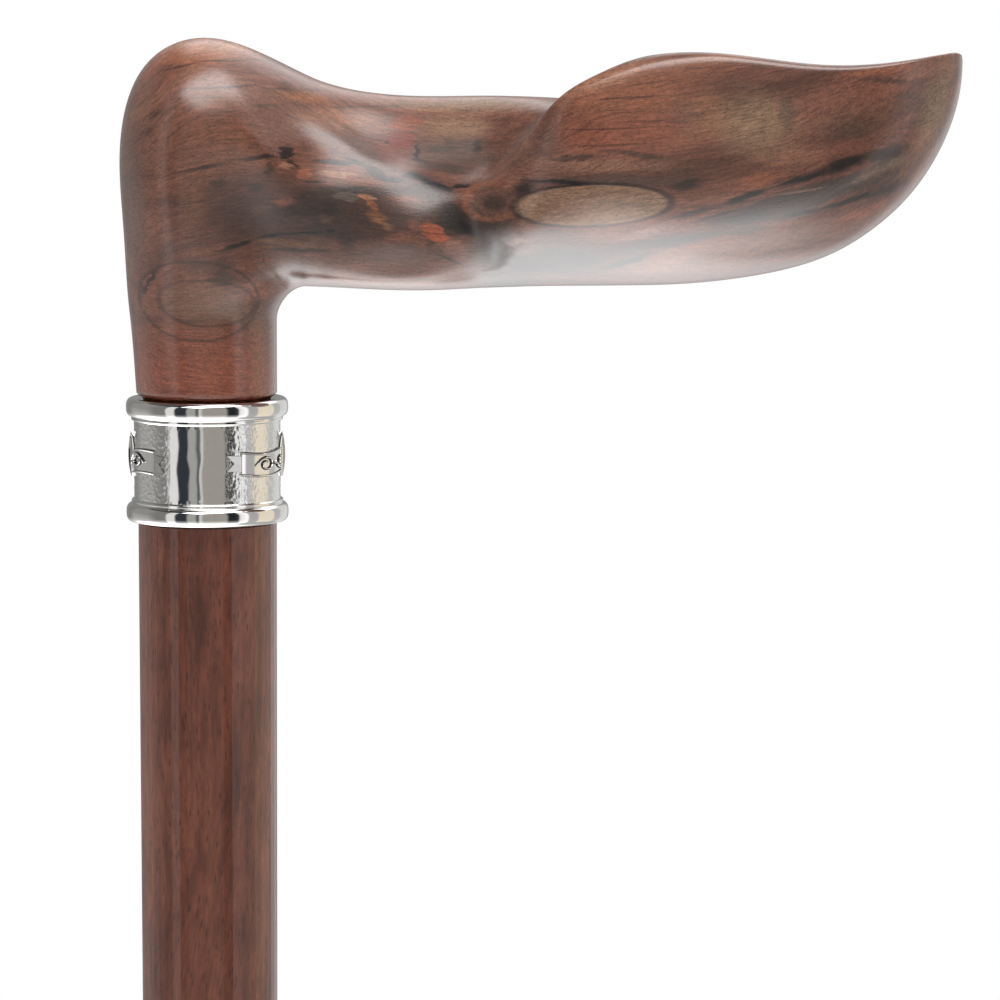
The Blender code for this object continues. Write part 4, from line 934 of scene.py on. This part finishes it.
# The lit ceiling behind the cane, on the same level: where it starts, backwards and from the left, and its brightness
CEILING_BACK, CEILING_LEFT = (0.18, 0.42), (-0.45, -0.15)
CEILING_GLOW = 1.5

# The even light of the white tent round the cane: its level, and how much it grows backwards and upwards
LIGHT_LEVEL, LIGHT_LEAN = 1.04, (0.0, 0.62, 0.26)


def mirrored_room(tree, look):
    """The studio as gloss shows it: panels of several greys at eye height, a softbox overhead and a lit ceiling
    behind, a lit white table below, and dark between them."""
    across, along, upward = add(tree, "SeparateXYZ", {0: look}).node.outputs
    round_it = add(tree, "Math", {0: across, 1: scaled(tree, along, -1.0)}, operation="ARCTAN2")
    round_it = scaled(tree, round_it, math.degrees(1))
    height = scaled(tree, add(tree, "Math", {0: upward}, operation="ARCSINE"), math.degrees(1))

    def between(value, low, high, soft):
        """1 from low to high, fading out on each side."""
        rise, fall = faded(tree, value, low - soft, low + soft), faded(tree, value, high + soft, high - soft)
        return scaled(tree, rise, fall)

    share = add(tree, "MapRange", {0: round_it, 1: -180, 2: 180})
    walls = graded(tree, share, [((at + 180) / 360, linear(tone)) for *ends, tone in WALLS for at in ends])
    room = stained(tree, linear(GLOOM_TONE), walls, between(height, WALL_FOOT, WALL_TOP, WALL_SOFT))

    # Where each direction meets a level one metre up
    above = add(tree, "Math", {0: upward, 1: 0.05}, operation="MAXIMUM")
    east, north = (add(tree, "Math", {0: part, 1: above}, operation="DIVIDE") for part in (across, along))
    ceiling = scaled(tree, faded(tree, north, *CEILING_BACK), faded(tree, upward, 0.4, 0.6))
    ceiling = scaled(tree, ceiling, faded(tree, east, *CEILING_LEFT))
    lengthwise = scaled(tree, add(tree, "Math", {0: east, 1: north}, operation="ADD"), math.sqrt(0.5))
    crosswise = scaled(tree, add(tree, "Math", {0: north, 1: east}, operation="SUBTRACT"), math.sqrt(0.5))
    askew = add(tree, "Math", {0: crosswise, 1: scaled(tree, lengthwise, SOFTBOX_SKEW)}, operation="ADD")
    soft = SOFTBOX_SIDE_SOFT
    lamp = scaled(tree, faded(tree, upward, 0.2, 0.4), between(lengthwise, SOFTBOX_NEAR, SOFTBOX_FAR, SOFTBOX_END_SOFT))
    lamp = scaled(tree, lamp, faded(tree, askew, SOFTBOX_LEFT + soft, SOFTBOX_LEFT - soft))
    lamp = scaled(tree, lamp, faded(tree, crosswise, SOFTBOX_RIGHT - soft, SOFTBOX_RIGHT + soft))
    lamp, ceiling = scaled(tree, lamp, SOFTBOX_GLOW), scaled(tree, ceiling, CEILING_GLOW)
    glow = add(tree, "Math", {0: lamp, 1: ceiling}, operation="ADD")
    glow = add(tree, "CombineXYZ", {0: glow, 1: glow, 2: glow})

    share = add(tree, "MapRange", {0: height, 1: -90, 2: 0})
    brightest = max(level for *_, levels in TABLE for _, level in levels)
    below = None
    for low, high, levels in TABLE:
        table = graded(tree, share, [(at / 90 + 1, (*[level / brightest] * 3, 1)) for at, level in levels])
        if below is None:
            below = table
        else:
            below = stained(tree, below, table, between(round_it, low, high, TABLE_SOFT))
    below = add(tree, "VectorMath", {0: below, "Scale": brightest}, operation="SCALE")

    room = add(tree, "VectorMath", {0: room, 1: glow}, operation="ADD")
    return add(tree, "VectorMath", {0: room, 1: below}, operation="ADD")


def room_world():
    """White all round to the eye, an even white to matt surfaces, and the studio to gloss."""
    world = bpy.data.worlds.new("studio_room")
    bpy.context.scene.world = world
    world.use_nodes = True
    tree = world.node_tree
    tree.nodes.clear()
    look = add(tree, "TexCoord", output="Generated")
    lean = add(tree, "VectorMath", {0: look, 1: LIGHT_LEAN}, "Value", operation="DOT_PRODUCT")
    level = add(tree, "Math", {0: lean, 1: LIGHT_LEVEL}, operation="ADD")
    white = (1, 1, 1, 1)
    mirrored, even, seen = (
        add(tree, "Background", {0: colour, 1: strength})
        for colour, strength in ((mirrored_room(tree, look), 1.0), (white, level), (white, 1.0))
    )
    rays = add(tree, "LightPath").node.outputs
    gloss = {0: rays["Is Glossy Ray"], 1: rays["Is Transmission Ray"]}
    lit = add(tree, "MixShader", {0: add(tree, "Math", gloss, operation="MAXIMUM"), 1: even, 2: mirrored})
    add(tree, "OutputWorld", {"Surface": add(tree, "MixShader", {0: rays["Is Camera Ray"], 1: lit, 2: seen})})


def softbox(name, place, target, size, watts):
    """A rectangular soft lamp that faces a target; gloss shows the room's softbox in its stead."""
    lamp = bpy.data.lights.new(name, "AREA")
    lamp.shape = "RECTANGLE"
    lamp.size, lamp.size_y = size
    lamp.energy = watts
    holder = placed(name, lamp)
    holder.location = place
    holder.rotation_euler = (Vector(target) - Vector(place)).to_track_quat("-Z", "Y").to_euler()
    holder.visible_camera = False
    holder.visible_glossy = False


FLOOR_RADIUS, FLOOR_FADES = 3000 * MM, (700, 2200)  # the disc, and from where to where it fades, in mm


def studio_floor():
    """A pale paper floor under the cane, matt with a faint fibre, that fades into the white round it."""
    made, tree = new_material("matt_paper_floor")
    place = millimetres(tree)
    colour = stained(tree, linear("#eeedeb"), "#f4f3f1", clouds(tree, place, (0.9, 0.9, 0.9), 3.0))
    paper = add(tree, "BsdfPrincipled", {"Base Color": colour, "Roughness": 0.8})
    far = add(tree, "VectorMath", {0: place}, "Value", operation="LENGTH")
    fade = scaled(tree, faded(tree, far, *FLOOR_FADES), add(tree, "LightPath", output="Is Camera Ray"))
    white = add(tree, "Emission", {0: (1, 1, 1, 1), 1: 1.0})
    add(tree, "OutputMaterial", {"Surface": add(tree, "MixShader", {0: fade, 1: paper, 2: white})})
    bm = bmesh.new()
    bmesh.ops.create_circle(bm, cap_ends=True, segments=96, radius=FLOOR_RADIUS)
    mesh = bpy.data.meshes.new("studio_floor")
    bm.to_mesh(mesh)
    bm.free()
    mesh.materials.append(made)
    floor = placed("studio_floor", mesh)
    floor.visible_glossy = False


# The camera: metres from the neck's seat, the size of a pixel there, degrees it is tipped down, where the seat's
# middle lies in the picture, in pixels from its top left corner, and the picture's and the sensor's width
CAMERA_AWAY, MM_PER_PIXEL, CAMERA_TIPPED = 1.0, 0.1615, 6.2
SEAT_ACROSS, SEAT_DOWN, PICTURE, SENSOR_MM = 207, 395, 1000, 36


def photo_camera():
    """The camera stands level with the grip's front, tipped down a little, with a long lens."""
    camera = placed("camera", bpy.data.cameras.new("camera"))
    bpy.context.scene.camera = camera
    pixels, tip = CAMERA_AWAY / MM / MM_PER_PIXEL, math.radians(CAMERA_TIPPED)
    right = Vector((1, 0, 0))
    upward = Vector((0, math.sin(tip), math.cos(tip)))
    forward = Vector((0, math.cos(tip), -math.sin(tip)))
    middle = PICTURE / 2
    aim = forward + right * ((SEAT_ACROSS - middle) / pixels) - upward * ((SEAT_DOWN - middle) / pixels)
    stand = Matrix((right, upward, -forward)).transposed().to_4x4()
    stand.translation = Vector((0, 0, SEAT_Z)) - aim * CAMERA_AWAY
    camera.matrix_world = stand
    camera.data.sensor_width = SENSOR_MM
    camera.data.lens = SENSOR_MM * pixels / PICTURE
    camera.data.clip_start, camera.data.clip_end = 0.05, 50


def main():
    # Polished, the plate mirrors the room. The ground between the polished parts keeps the fine pebbles of the
    # casting, which break that mirror into sparkles, and the foot of the relief, where polish never came, is dark.
    polished = nickel("nickel_plate_polished", 0.07, 0.0)
    pebbled = nickel("nickel_plate_pebbled", 0.12, 0.04)
    darkened = nickel("nickel_plate_darkened", 0.40, 0.02, ("#4b4a48", "#3a3937"))
    # Turned steel with a thin zinc plate is a dull blue-grey, and free-cutting brass a warm yellow
    steel = turned_metal("zinc_plated_steel_turned", ("#a9adb0", "#c3c6c8"), 0.38, (0.4, 0.4, 9.0))
    brass = turned_metal("brass_turned", ("#b99245", "#d9b566"), 0.30, (0.3, 0.3, 7.0))
    carved_grip(figured_walnut())
    collar_ring(polished, pebbled)
    collar_ornament(polished, darkened)
    finish_cad_node("shaft", stained_shaft_wood(), smooth=True)
    finish_cad_node("rubber_tip", moulded_rubber(), smooth=True)
    finish_cad_node("hanger_bolt", steel)
    finish_cad_node("tip_washer", steel)
    finish_cad_node("threaded_insert", brass)
    room_world()
    softbox("overhead_softbox", (0.05, -0.42, SEAT_Z + 1.15), (0.05, 0, SEAT_Z + 0.03), (1.7, 0.5), 12)
    studio_floor()
    photo_camera()
    bpy.context.scene.view_settings.view_transform = "Standard"


main()
